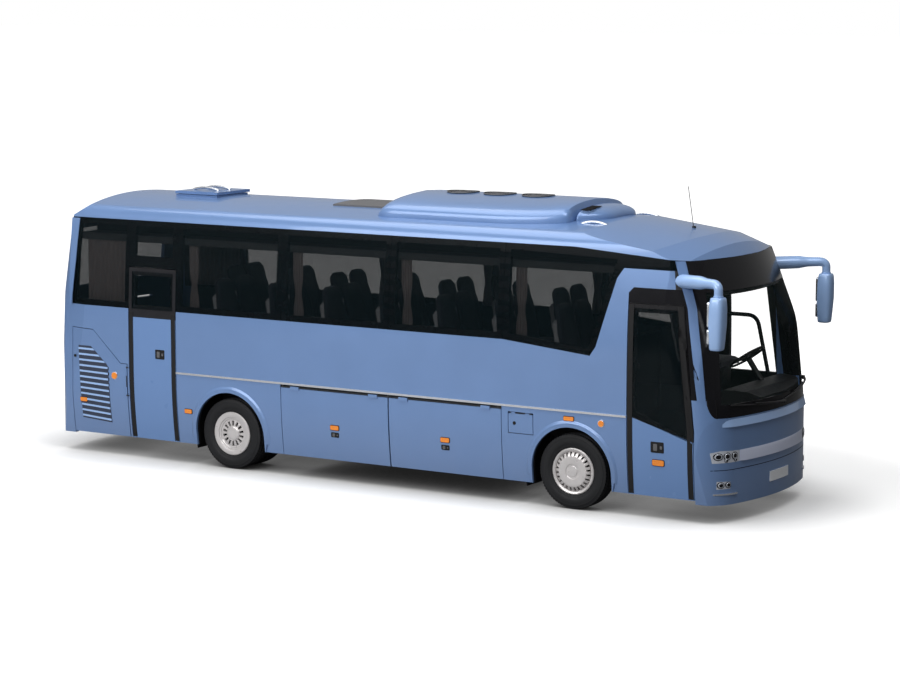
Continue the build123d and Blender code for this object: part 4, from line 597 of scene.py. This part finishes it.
pads, backs, shells, feet = [], [], [], []
padLow, padHigh, footLow = seat["low"] + 0.03, seat["high"] + 0.012, seat["floor"] + 0.0005
for side, first in ((-1, seat["rightFirst"]), (1, seat["leftFirst"])):
    for k in range(seat["rows"]):
        x = first + seat["pitch"] * k
        for half in (0.5, 1.5):
            y = side * (seat["outer"] - half * seat["wide"])
            w = seat["wide"] / 2 - 0.006
            pads.append(crowned((x + 0.002, y - w, padLow), (x + seat["deep"], y + w, padHigh)))
            backs.append(seatBack(x, y, seat["wide"]))
            shells.append(seatBack(x, y, seat["wide"] * 1.035, 0.012, 0.022, 1.50, 2.06))
        y = side * (seat["outer"] - seat["wide"])
        feet.append(roundBox((x + 0.01, y - 0.40, seat["low"]), (x + 0.43, y + 0.40, seat["low"] + 0.034), 0.12))
        feet.append(roundBox((x + 0.06, y - 0.30, footLow), (x + 0.34, y + 0.30, seat["low"] + 0.005), 0.1))
x, y = seat["driverX"], seat["driverY"]
pads.append(crowned((x + 0.002, y - 0.225, padLow), (x + 0.46, y + 0.23, padHigh)))
backs.append(seatBack(x, y, 0.45))
shells.append(seatBack(x, y, 0.44, 0.006, 0.008, 1.50, 2.10))
feet.append(roundBox((x + 0.06, y - 0.16, footLow), (x + 0.40, y + 0.16, seat["low"] + 0.034), 0.1))
addPiece("seat_pads", pads, seatCloth, "body", ["seat_cushions"], sharp=60)
addPiece("seat_back_pads", backs, seatCloth, "body", ["seat_backs"], sharp=60)
addPiece("seat_shells", shells, seatShell, "body")
addPiece("seat_stands", feet, dashPlastic, "body")
print("seats done", len(pads))

# curtains: pleated cloth hung under the racks, gathered to a tie on the narrow ones
curtain = dict(top=2.638, foot=1.872, mid=1.071, depth=0.0095, wide=0.14,
               gathered=(-2.59, -1.29, -1.07, 0.22, 0.44, 1.73, 1.95), drawn=((-4.15, -3.42),))


def pleats(x0, x1, side, count, tie):
    # u along the rail, v down: y waves with u, and the width closes to a waist where it is tied
    c = curtain
    u, v = np.meshgrid(np.linspace(0, 1, count * 10 + 1), np.linspace(0, 1, 25), indexing="ij")
    waist = 1 - tie * np.exp(-((v - 0.62) / 0.16) ** 2)
    x = (x0 + x1) / 2 + (u - 0.5) * (x1 - x0) * waist
    wave = np.sin(2 * np.pi * count * u + 0.6 * np.sin(3 * v + x0 * 5)) * (0.55 + 0.45 * v)
    y = side * (c["mid"] + c["depth"] * wave)
    z = c["top"] - v * (c["top"] - c["foot"]) + 0.004 * np.sin(2 * np.pi * count * u) * v
    return xyz(x, y, z)


for sideName, side in (("right", -1), ("left", 1)):
    spans = [(a, b, 13, 0.0) for a, b in curtain["drawn"]]
    spans += [(a, a + curtain["wide"], 4, 0.38) for a in curtain["gathered"]]
    for k, (x0, x1, count, tie) in enumerate(spans):
        grid = pleats(x0, x1, side, count, tie)
        rows, cols = grid.shape[:2]
        cloth = addPiece(f"curtain_{sideName}_{k + 1}", [(grid.reshape(-1, 3), gridFaces(rows, cols))],
                         curtainCloth, "body", ["curtains"], sharp=80)
        wall = cloth.modifiers.new("cloth", "SOLIDIFY")
        wall.thickness, wall.offset = 0.0012, 0.0
print("curtains done")

# steering wheel, blind and wipers
steer = dict(centre=(4.19, 0.56, 1.33), axis=(-0.573576, 0.0, 0.819152), rim=0.0135,
             spokes=(0.25, math.pi - 0.25, 1.5 * math.pi))
low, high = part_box("steering_wheel")
ringR = (high[1] - low[1]) / 2 - steer["rim"]
centre, axisV, acrossV = np.array(steer["centre"]), np.array(steer["axis"]), np.array([0.0, 1.0, 0.0])
upV = np.cross(axisV, acrossV)
cadPoints = nodes["steering_wheel"].data.vertices
corners = np.empty(len(cadPoints) * 3, np.float32)
cadPoints.foreach_get("co", corners)
reach = (corners.reshape(-1, 3) - centre) @ axisV           # how far along the column the CAD wheel runs
ringAt = centre + axisV * (reach.max() - 0.022)
foot = centre + axisV * (reach.min() + 0.001)
t = circle(64)
ring = ringAt + ringR * (np.cos(t)[:, None] * acrossV + np.sin(t)[:, None] * upV)
wheelShapes = [tube(ring, steer["rim"], 14, True)]
for angle in steer["spokes"]:
    out = math.cos(angle) * acrossV + math.sin(angle) * upV
    spoke = [ringAt + out * 0.02 - axisV * 0.012, ringAt + out * (ringR * 0.6) - axisV * 0.006,
             ringAt + out * (ringR - 0.004)]
    wheelShapes.append(tube(spoke, [0.024, 0.015, 0.011], 12))
boss = [ringAt + axisV * along for along in (0.012, 0.004, -0.025, -0.035)]
wheelShapes.append(tube(boss, [0.040, 0.055, 0.055, 0.030], 28))
wheelShapes.append(tube([ringAt - axisV * 0.03, foot], [0.026, 0.026], 20))
addPiece("steering_wheel_rim", wheelShapes, dashPlastic, "steering_wheel", ["steering_wheel"])
hem = screenPlace(np.linspace(-0.93, 0.93, 40), 0.775, -0.065)
blind = patch(screenPlace, (-0.93, 0.93), (0.775, 0.955), -0.055, -0.075, (40, 8))
addPiece("sun_blind", [blind, tube(hem, 0.013, 10)], dashPlastic, "body")
wipers = [(1.00, 1.345, 0.02, 1.235), (0.10, 1.215, -0.93, 1.300)]   # pivot y, z and tip y, z
wiperShapes = []
for y0, z0, y1, z1 in wipers:
    line = np.linspace(0, 1, 24)
    onBlade, onArm = 0.16 + 0.84 * line, 0.62 * line
    blade = onNose(y0 + (y1 - y0) * onBlade, z0 + (z1 - z0) * onBlade - 0.015, 0.007)
    arm = onNose(y0 + (y1 - y0) * onArm, z0 + (z1 - z0) * onArm, 0.016 + 0.020 * np.sin(np.pi * line))
    pivot = onNose(y0, z0, 0.0)
    wiperShapes += [tube(blade, 0.0085, 8),
                    tube(arm, np.interp(line, [0, 0.3, 1], [0.017, 0.012, 0.008]), 8),
                    tube([pivot + (out, 0, 0) for out in (-0.01, 0.024, 0.028)], [0.024, 0.024, 0.014], 18)]
addPiece("wipers", wiperShapes, dashPlastic, "body")
print("cab done")


# small fittings on the walls
def wallFit(x, z, w, h, side, front, back=-0.004, r=None):
    return slab(roundRect(x, z, w, h, r), onWall(side), front, back)


amberRows = [  # x, z, width, height, body on the right, body on the left
    (-0.422, 0.636, 0.115, 0.052, "lid_right_rear", "lid_left_rear"),
    (1.089, 0.632, 0.115, 0.052, "lid_right_front", "lid_left_front"),
    (-2.548, 0.648, 0.105, 0.050, "body", "body"), (-4.160, 0.663, 0.105, 0.050, "engine_flap", "body"),
    (2.700, 1.020, 0.125, 0.044, "body", "body"), (3.800, 0.630, 0.140, 0.062, "front_door", "body")]
fits = {}


def keep(body, finish, shape):
    fits.setdefault((body, finish), []).append(shape)


for x, z, w, h, rightBody, leftBody in amberRows:
    for side, body in ((-1, rightBody), (1, leftBody)):
        keep(body, "amber", wallFit(x, z, w, h, side, 0.011))
        keep(body, "black", wallFit(x, z, w + 0.014, h + 0.014, side, 0.004))
for x, z, r, body in ((-3.663, 0.997, 0.040, "engine_flap"), (3.105, 1.000, 0.034, "body")):
    keep(body, "amber", wallFit(x, z, 2 * r, 2 * r, -1, 0.014, r=r * 0.98))
    keep(body, "silver", wallFit(x, z, 2.5 * r, 2.5 * r, -1, 0.006, r=r * 1.2))
handleRows = [  # x, z, width, height, right body, left body
    (-0.422, 0.551, 0.110, 0.060, "lid_right_rear", "lid_left_rear"),
    (1.089, 0.545, 0.110, 0.060, "lid_right_front", "lid_left_front"),
    (-2.960, 1.307, 0.140, 0.115, "rear_door", None), (3.790, 0.800, 0.160, 0.120, "front_door", None)]
for x, z, w, h, rightBody, leftBody in handleRows:
    for side, body in ((-1, rightBody), (1, leftBody)):
        if body:
            keep(body, "black", wallFit(x, z, w, h, side, 0.003, r=0.012))
            keep(body, "grey", wallFit(x - w * 0.12, z, w * 0.30, h * 0.62, side, 0.012, r=0.008))
            keep(body, "grey", wallFit(x + w * 0.30, z, w * 0.16, h * 0.30, side, 0.008, r=0.007))
keep("engine_flap", "black", wallFit(-4.280, 1.200, 0.034, 0.034, -1, 0.005, r=0.0165))
keep("filler_flap", "black", wallFit(2.005, 0.910, 0.040, 0.040, -1, 0.004, r=0.0195))
fitFinish = {"amber": (amberLens, "lamp_red"), "black": (flapRubber, "flap_rubber"),
             "silver": (brightRail, "rail_bright"), "grey": (innerTrim, "dash_plastic")}
for (body, finish), shapes in fits.items():
    mat, slotName = fitFinish[finish]
    addPiece(f"{finish}_fittings_{body}", shapes, mat, body, bevel=0.0012)

# rubber edges of the two doors: bands that follow the door's sides
doorSeals = dict(band=0.062, low=0.262, proud=0.0045)


def rakeX(z):
    # front edge of the front door: upright to z 1.0, then leaning back
    return 4.217 - (4.217 - 4.064) * np.clip((z - 1.0) / 1.34, 0, 1)


def frontDoorBand(u, z, d):
    # u across the band, inside the door's raked front edge
    return onWall(-1)(rakeX(z) - 0.004 - (1 - u) * doorSeals["band"], z, d)


band, proud = doorSeals["band"], doorSeals["proud"]
rearBands = [patch(onWall(-1), (a, a + band), (doorSeals["low"], 1.80), proud, -0.003, (4, 40))
             for a in (-3.427, -2.723 - band)]
addPiece("rear_door_seals", rearBands, flapRubber, "rear_door")
frontBands = [patch(place, span, (doorSeals["low"], 2.335), proud, -0.003, (4, 50))
              for place, span in ((onWall(-1), (3.424, 3.424 + band)), (frontDoorBand, (0, 1)))]
addPiece("front_door_seals", frontBands, flapRubber, "front_door")

# louvre in the flap: a dark sheet of painted shade with a slanted front edge, and slats that lean out of it
louvre = dict(count=13, lowZ=0.420, highZ=1.335, rearX=(-4.195, -4.222), frontX=(-3.740, -3.772), slantZ=1.112,
              slant=1.14)


def louvrePlace(u, z, d):
    # u from the rear edge to the front edge; above slantZ the front edge runs back
    q = louvre
    v = (z - q["lowZ"]) / (q["highZ"] - q["lowZ"])
    rear = q["rearX"][0] + (q["rearX"][1] - q["rearX"][0]) * v
    front = q["frontX"][0] + (q["frontX"][1] - q["frontX"][0]) * v - q["slant"] * np.maximum(z - q["slantZ"], 0)
    return onWall(-1)(rear + (front - rear) * u, z + (0.5 - u) * 0.03 * (1 - v), d)


louvreZ = (louvre["lowZ"], louvre["highZ"])
step = (louvreZ[1] - louvreZ[0]) / louvre["count"]
slatFeet = louvreZ[0] + step * (np.arange(louvre["count"]) + 0.30)
slats = [patch(louvrePlace, (0.012, 0.988), (z0, z0 + step * 0.32), lambda a, b, z0=z0: 0.010 - 0.16 * (b - z0),
               0.0, (8, 3)) for z0 in slatFeet]
# the slats take the lighter blue: painted light on their upward faces
addPiece("louvre_slats", slats, litBluePaint, "engine_flap")
# dark blue sheet behind the slats: painted shade in the gaps of the louvre
louvreShadeSheet = newFinish("louvreShadeSheet", (0.022, 0.032, 0.062), 0.5, 0.2, 20, 600, 0.2)
addPiece("louvre_shade_panel", [patch(louvrePlace, (0, 1), louvreZ, 0.0025, -0.003, (10, 40))], louvreShadeSheet,
         "engine_flap")
print("wall fittings done")

# blue strips that run up the four corners: beside the black screen surround, and behind the side windows
strip = dict(z=[1.336, 1.83, 2.321, 2.588, 2.815], rear=[4.252, 4.179, 4.103, 4.011, 3.937],
             front=[4.337, 4.281, 4.190, 4.102, 4.028])
tailStrip = dict(z=[1.839, 2.379, 2.896], rear=[-4.352] * 3, front=[-4.323, -4.265, -4.228])


def cornerStrip(side, edges):
    # u from the rear edge to the front edge, both run through the listed heights
    def place(u, z, d):
        rear, front = np.interp(z, edges["z"], edges["rear"]), np.interp(z, edges["z"], edges["front"])
        return onWall(side)(rear + (front - rear) * u, z, d)
    return patch(place, (0, 1), (edges["z"][0], edges["z"][-1]), 0.004, -0.006, (8, 48))


addPiece("corner_strips", [cornerStrip(side, edges) for side in (-1, 1) for edges in (strip, tailStrip)],
         bluePaint, "body", sharp=60)


lip = dict(low=0.505, high=0.575, proud=0.014, turn=(math.radians(-8), math.radians(188)))


def archLip(x, side):
    # soft moulding round the wheel arch: half-sine section swept through 196 degrees
    def place(r, a, d):
        return onWall(side)(x + r * np.cos(a), coach["axleZ"] + r * np.sin(a), d)

    def swell(r, a):
        return 0.001 + lip["proud"] * np.sin(np.pi * (r - lip["low"]) / (lip["high"] - lip["low"])) ** 1.5
    return patch(place, (lip["low"], lip["high"]), lip["turn"], swell, -0.004, (10, 72))


addPiece("arch_lips", [archLip(x, side) for side in (-1, 1) for x in (coach["frontAxleX"], coach["rearAxleX"])],
         bluePaint, "body", sharp=60)
railLine = bend([(3.45, 1.06, 2.0), (3.88, 1.06, 2.0), (4.03, 1.06, 1.34)], 0.12, 9)
addPiece("cab_rail", [tube(railLine, 0.024, 12)], glossBlack, "body")
ducts = [patch(lambda x, z, d, y=y: xyz(x, y + d, z), (-4.24, 3.22), (2.722, 2.965), 0.006, -0.006, (30, 4))
         for y in (-0.775, 0.775)]
addPiece("rack_ducts", ducts, dashPlastic, "body")

# nose: ledge under the screen in the lighter blue as a painted highlight, strip painted pale as a reflection of the
# sky, seam, screen corners, lamps, plate and blades
ledge = dict(half=1.03, low=1.055, high=1.140)
noseStrip = dict(half=0.795, low=0.672, high=0.790)
plate = dict(half=0.23, low=0.365, high=0.475)


def ledgeDepth(y, z):
    # proud at the foot and falling back to the glass at the head, with the ends faded out
    v = (z - ledge["low"]) / (ledge["high"] - ledge["low"])
    ends = np.clip((1.05 - abs(y)) / 0.10, 0, 1)
    return (0.024 - 0.022 * v) * ends + 0.001


def stripDepth(y, z):
    # swells from the panel at the head to its fullest near the foot
    v = (z - noseStrip["low"]) / (noseStrip["high"] - noseStrip["low"])
    return 0.003 + 0.020 * (1 - v) ** 0.8 * np.clip((0.80 - abs(y)) / 0.06, 0, 1)


def nosePatch(fit, front, steps, back=-0.004):
    return patch(onNose, (-fit["half"], fit["half"]), (fit["low"], fit["high"]), front, back, steps)


# the ledge faces up: its lighter blue is a painted highlight
addPiece("screen_ledge", [nosePatch(ledge, ledgeDepth, (60, 7))], litBluePaint, "body", sharp=60)
# the strip's pale blue is a painted sky reflection on its upward face
addPiece("nose_strip", [nosePatch(noseStrip, stripDepth, (60, 9))], skyReflectPaint, "body", sharp=60)
noseSeam = dict(half=1.12, low=0.586, high=0.593)
addPiece("nose_seam", [nosePatch(noseSeam, 0.0015, (60, 2), -0.003)], slotBlack, "body")


def screenCorner(side):
    # black corner outside the screen's foot: its lower edge is a quarter ellipse, 54 mm by 184 mm
    def place(u, v, d):
        low = screen["lowZ"] + 0.184 * (1 - np.sqrt(np.clip(1 - u ** 2, 0, 1)))
        return onNose(side * (1.080 + 0.054 * u), low + (1.353 - low) * v, d)
    return patch(place, (0, 0.98), (0, 1), 0.013, -0.003, (12, 10))


addPiece("screen_corners", [screenCorner(-1), screenCorner(1)], glossBlack, "body", sharp=60)


def disc(a, b, r, count, place, front, back):
    t = circle(count)
    return slab(np.stack([a + r * np.cos(t), b + r * np.sin(t)], -1), place, front, back)


lampRows = [(1.065, 0.738, 0.040), (0.975, 0.738, 0.042), (0.875, 0.738, 0.042), (0.985, 0.693, 0.020),
            (0.860, 0.693, 0.020), (1.040, 0.428, 0.034), (0.960, 0.428, 0.034)]   # y, z, radius
lampParts = [("lamp_bezels", 1.0, 0.006, -0.004, slotBlack, "window_black", 0.001),
             ("lamp_lenses", 0.58, 0.011, -0.002, glossBlack, "window_black", 0.002),
             ("lamp_bulbs", 0.80, 0.009, -0.002, lampClear, "lamp_clear", 0.003)]
for name, part, front, back, finish, slotName, edge in lampParts:
    discs = [disc(side * y, z, r * part, 28, onNose, front, back) for side in (-1, 1) for y, z, r in lampRows]
    addPiece(name, discs, finish, "body", bevel=edge)
plainPlate = newFinish("plainPlate", (0.84, 0.86, 0.90), 0.4, scale=12, **dict(enamel, grain=700, bump=0.05))
addPiece("front_plate", [nosePatch(plate, 0.007, (16, 4))], plainPlate, "body", bevel=0.001)
blades = [patch(onNose, (side * 1.10, side * 0.84), (0.318, 0.336),
                lambda y, z: 0.004 + 0.012 * np.clip((1.11 - abs(y)) / 0.2, 0, 1), -0.004, (16, 4))
          for side in (-1, 1)]
addPiece("bumper_blades", blades, brightRail, "body")
print("nose done")

# roof unit: crowned cover with round shoulders, stepped fairing ahead, fans under guards
unit = dict(rear=-0.06, front=2.73, half=0.86, top=3.345, crown=0.115, noseR=1.28, seamX=2.40, gap=0.006,
            step=0.055, power=0.42)
fan = dict(xs=(0.60, 1.10, 1.61), radius=0.185, hub=0.05, rings=(0.05, 0.085, 0.12, 0.155, 0.188), wire=0.003,
           edgeWire=0.0065, sides=40)


def roofZ(y, top=3.150):
    # the roof falls away from its top to both sides
    return top - 0.085 * (y / 0.86) ** 2


def unitTop(y):
    # crowned top: falls away to both sides as |y| to the power 1.6
    return unit["top"] - unit["crown"] * abs(y) ** 1.6


def unitShape(x0, x1, drop, ends, part):
    # rings along x: across the top a superellipse of power about 4.8 over the crown, closed under the roof skin
    u = np.linspace(0, 1, 26)
    x = x0 + (x1 - x0) * (1 - np.cos(np.pi * u)) / 2
    t = np.linspace(0, np.pi, 41)
    c, s = np.cos(t), np.sin(t)
    past = np.maximum(x - (unit["front"] - unit["noseR"]), 0)
    noseIn = np.sqrt(np.clip(unit["noseR"] ** 2 - past ** 2, 0.0, None)) / unit["noseR"]
    rearRise, frontRise = np.clip((x - x0) / ends[0], 0, 1), np.clip((x1 - x) / ends[1], 0, 1)
    rise = np.sqrt(1 - (1 - rearRise) ** 2) * np.sqrt(1 - (1 - frontRise) ** 2)
    half = part * unit["half"] * (0.30 + 0.70 * noseIn) * (0.93 + 0.07 * rise)
    y = half[:, None] * (np.sign(c) * abs(c) ** unit["power"])[None]
    base = roofZ(y)
    z = base + (unitTop(y) - drop - base) * (abs(s) ** unit["power"])[None] * (0.16 + 0.84 * rise)[:, None]
    over = xyz(x[:, None], y, z)
    under = over[:, ::-1].copy()
    under[..., 2] = roofZ(under[..., 1]) - 0.012
    return loft(np.concatenate([over, under[:, 1:-1]], 1))


def onUnit(x, y, d):
    return xyz(x, y, unitTop(y) + d)


addPiece("roof_unit_cover", [unitShape(unit["rear"], unit["seamX"] - unit["gap"], 0.0, (0.17, 0.05), 1.0),
                             unitShape(unit["seamX"] + unit["gap"], unit["front"], unit["step"], (0.03, 0.30), 0.86)],
         bluePaint, "body", ["roof_unit"], sharp=50)
# dark slits on the fairing's step: painted shade in the vent openings
vents = [patch(onUnit, (2.44, 2.56), (y0, y0 + 0.016), 0.004 - unit["step"], -0.004 - unit["step"], (6, 3))
         for y0 in np.arange(-0.50, -0.22, 0.032)]
addPiece("roof_unit_vents", vents, slotBlack, "body")
guards, rotors = [], []
t = circle(fan["sides"])
spoke = np.array([0.03, 0.11, fan["rings"][-1]])
for fx in fan["xs"]:
    # dark discs: the fan and hub, with painted shade of the well around them
    rotors.append(disc(fx, 0.0, fan["radius"], fan["sides"], onUnit, 0.003, -0.01))
    for r in fan["rings"]:
        ring = onUnit(fx + r * np.cos(t), r * np.sin(t), 0.008)
        guards.append(tube(ring, fan["edgeWire"] if r == fan["rings"][-1] else fan["wire"], 6, True))
    for a in np.arange(8) * np.pi / 4:
        guards.append(tube(onUnit(fx + spoke * math.cos(a), spoke * math.sin(a), 0.006), fan["wire"], 6))
    rotors.append(disc(fx, 0.0, fan["hub"], fan["sides"], onUnit, 0.010, -0.01))
addPiece("fan_guards", guards, innerTrim, "body")
addPiece("fan_wells", rotors, slotBlack, "body", sharp=50)


def roofArc(x0, x1, y, z, high):
    # half-sine grip over the roof
    u = np.linspace(0, 1, 20)
    return tube(xyz(x0 + (x1 - x0) * u, y, z + high * np.sin(np.pi * u) ** 0.6), 0.016, 10)


addPiece("hatch_grip", [roofArc(-3.25, -2.86, y, 3.214, 0.035) for y in (-0.12, 0.12)], brightRail, "roof_hatch")
addPiece("roof_grips", [roofArc(2.50, 2.86, y, roofZ(y) - 0.012, 0.045) for y in (-0.62, 0.62)], brightRail,
         "body")
roofTop = float(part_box("roof_panel")[1][2])
addPiece("roof_vent", [patch(lambda x, y, d: xyz(x, y, roofZ(y, roofTop) + d), (-0.95, -0.25),
                             (-0.42, 0.42), 0.008, -0.012, (10, 20))], innerTrim, "body")
print("roof done")

# floor, light and camera
stage = dict(reach=220.0, floorColour=0.93, floorGlow=0.30, floorWide=(8.5, 5.5), fade=(0.75, 1.15),
             bounce=(0.55, 0.20), bounceX=(1.5, 5.0), contact=(1.1, 1.1), worldLevel=0.26, frontShade=0.52,
             shadeX=(-0.2, 0.75), glossyWhite=0.20)


def seenRay(tree):
    # 1 for what is seen straight or through glass
    rays = addNode(tree, "LightPath", {})
    return calc(tree, "MAXIMUM", rays["Is Camera Ray"], rays["Is Transmission Ray"])


def addFloor():
    s, r = stage, stage["reach"]
    mesh = bpy.data.meshes.new("studio_floor")
    mesh.from_pydata([(-r, -r, 0), (r, -r, 0), (r, r, 0), (-r, r, 0)], [], [(0, 1, 2, 3)])
    floor = bpy.data.objects.new("studio_floor", mesh)
    scene.collection.objects.link(floor)
    mat = bpy.data.materials.new("studioFloor")
    mat.use_nodes = True
    mesh.materials.append(mat)
    tree = mat.node_tree
    where = addNode(tree, "TexCoord", {}, "Object")
    shrink = (1 / s["floorWide"][0], 1 / s["floorWide"][1], 0)
    flat = addNode(tree, "Mapping", {"Vector": where, "Scale": shrink}, "Vector")
    far = addNode(tree, "VectorMath", {0: flat}, "Value", operation="LENGTH")
    # the paper's own white takes over away from the shadow
    fade = remap(tree, far, s["fade"], (s["floorGlow"], 1.0), "SMOOTHSTEP")
    seen = seenRay(tree)
    # less light comes back up from the floor ahead of the coach
    bounce = remap(tree, placeXYZ(tree)["X"], s["bounceX"], s["bounce"])
    paper = mixed(tree, seen, bounce, s["floorColour"], "FLOAT")
    # contact shadow deepens where the coach stands close over the floor
    near = addNode(tree, "AmbientOcclusion", {"Distance": s["contact"][0]}, "AO")
    deep = calc(tree, "POWER", near, s["contact"][1])
    glow = calc(tree, "MULTIPLY", calc(tree, "MULTIPLY", seen, fade), deep)
    feed(tree, tree.nodes["Principled BSDF"], {
        "Roughness": 0.9, "Specular IOR Level": 0.0, "Emission Color": (1, 1, 1, 1), "Emission Strength": glow,
        "Base Color": calc(tree, "MULTIPLY", paper, deep)})


def addWorld():
    # dimmer towards the coach's front; white where it is seen, and partly so in reflections
    s = stage
    world = bpy.data.worlds.new("studio")
    scene.world = world
    world.use_nodes = True
    tree = world.node_tree
    ahead = remap(tree, placeXYZ(tree, "Generated")["X"], s["shadeX"], (1.0, s["frontShade"]), "SMOOTHSTEP")
    level = calc(tree, "MULTIPLY", ahead, s["worldLevel"])
    shine = calc(tree, "MULTIPLY", addNode(tree, "LightPath", {}, "Is Glossy Ray"), s["glossyWhite"])
    white = calc(tree, "MAXIMUM", seenRay(tree), shine)
    feed(tree, tree.nodes["Background"], {"Color": (1, 1, 1, 1),
                                          "Strength": mixed(tree, white, level, 1.0, "FLOAT")})


lamps = [                                       # name, place, aim, width, height, watts
    ("side_bank", (-4.0, -17.0, 9.0), (0.0, 0.0, 1.3), 16.0, 8.0, 2050.0),
    ("top_bank", (-2.0, -2.0, 13.0), (-0.5, 0.0, 2.0), 16.0, 9.0, 1150.0),
    ("brow_bank", (8.5, -6.0, 13.0), (4.2, 0.0, 2.4), 6.0, 6.0, 620.0),
]


def addLamps():
    for name, place, aim, wide, high, watts in lamps:
        data = bpy.data.lights.new(name, "AREA")
        data.shape, data.size, data.size_y, data.energy = "RECTANGLE", wide, high, watts
        lamp = bpy.data.objects.new(name, data)
        lamp.location = place
        lamp.rotation_euler = (Vector(aim) - Vector(place)).to_track_quat("-Z", "Y").to_euler()
        scene.collection.objects.link(lamp)


view = dict(place=(16.954, -26.5, 5.817), yaw=31.967, pitch=7.654, lens=107.2)


def addCamera():
    data = bpy.data.cameras.new("photo_view")
    data.lens, data.sensor_width, data.sensor_fit = view["lens"], 36.0, "HORIZONTAL"
    data.clip_end = 600.0
    camera = bpy.data.objects.new("photo_view", data)
    camera.location = view["place"]
    camera.rotation_euler = (math.radians(90 - view["pitch"]), 0.0, math.radians(view["yaw"]))
    scene.collection.objects.link(camera)
    scene.camera = camera


addFloor()
addWorld()
addLamps()
addCamera()
scene.view_settings.view_transform = "Standard"
print("stage done")
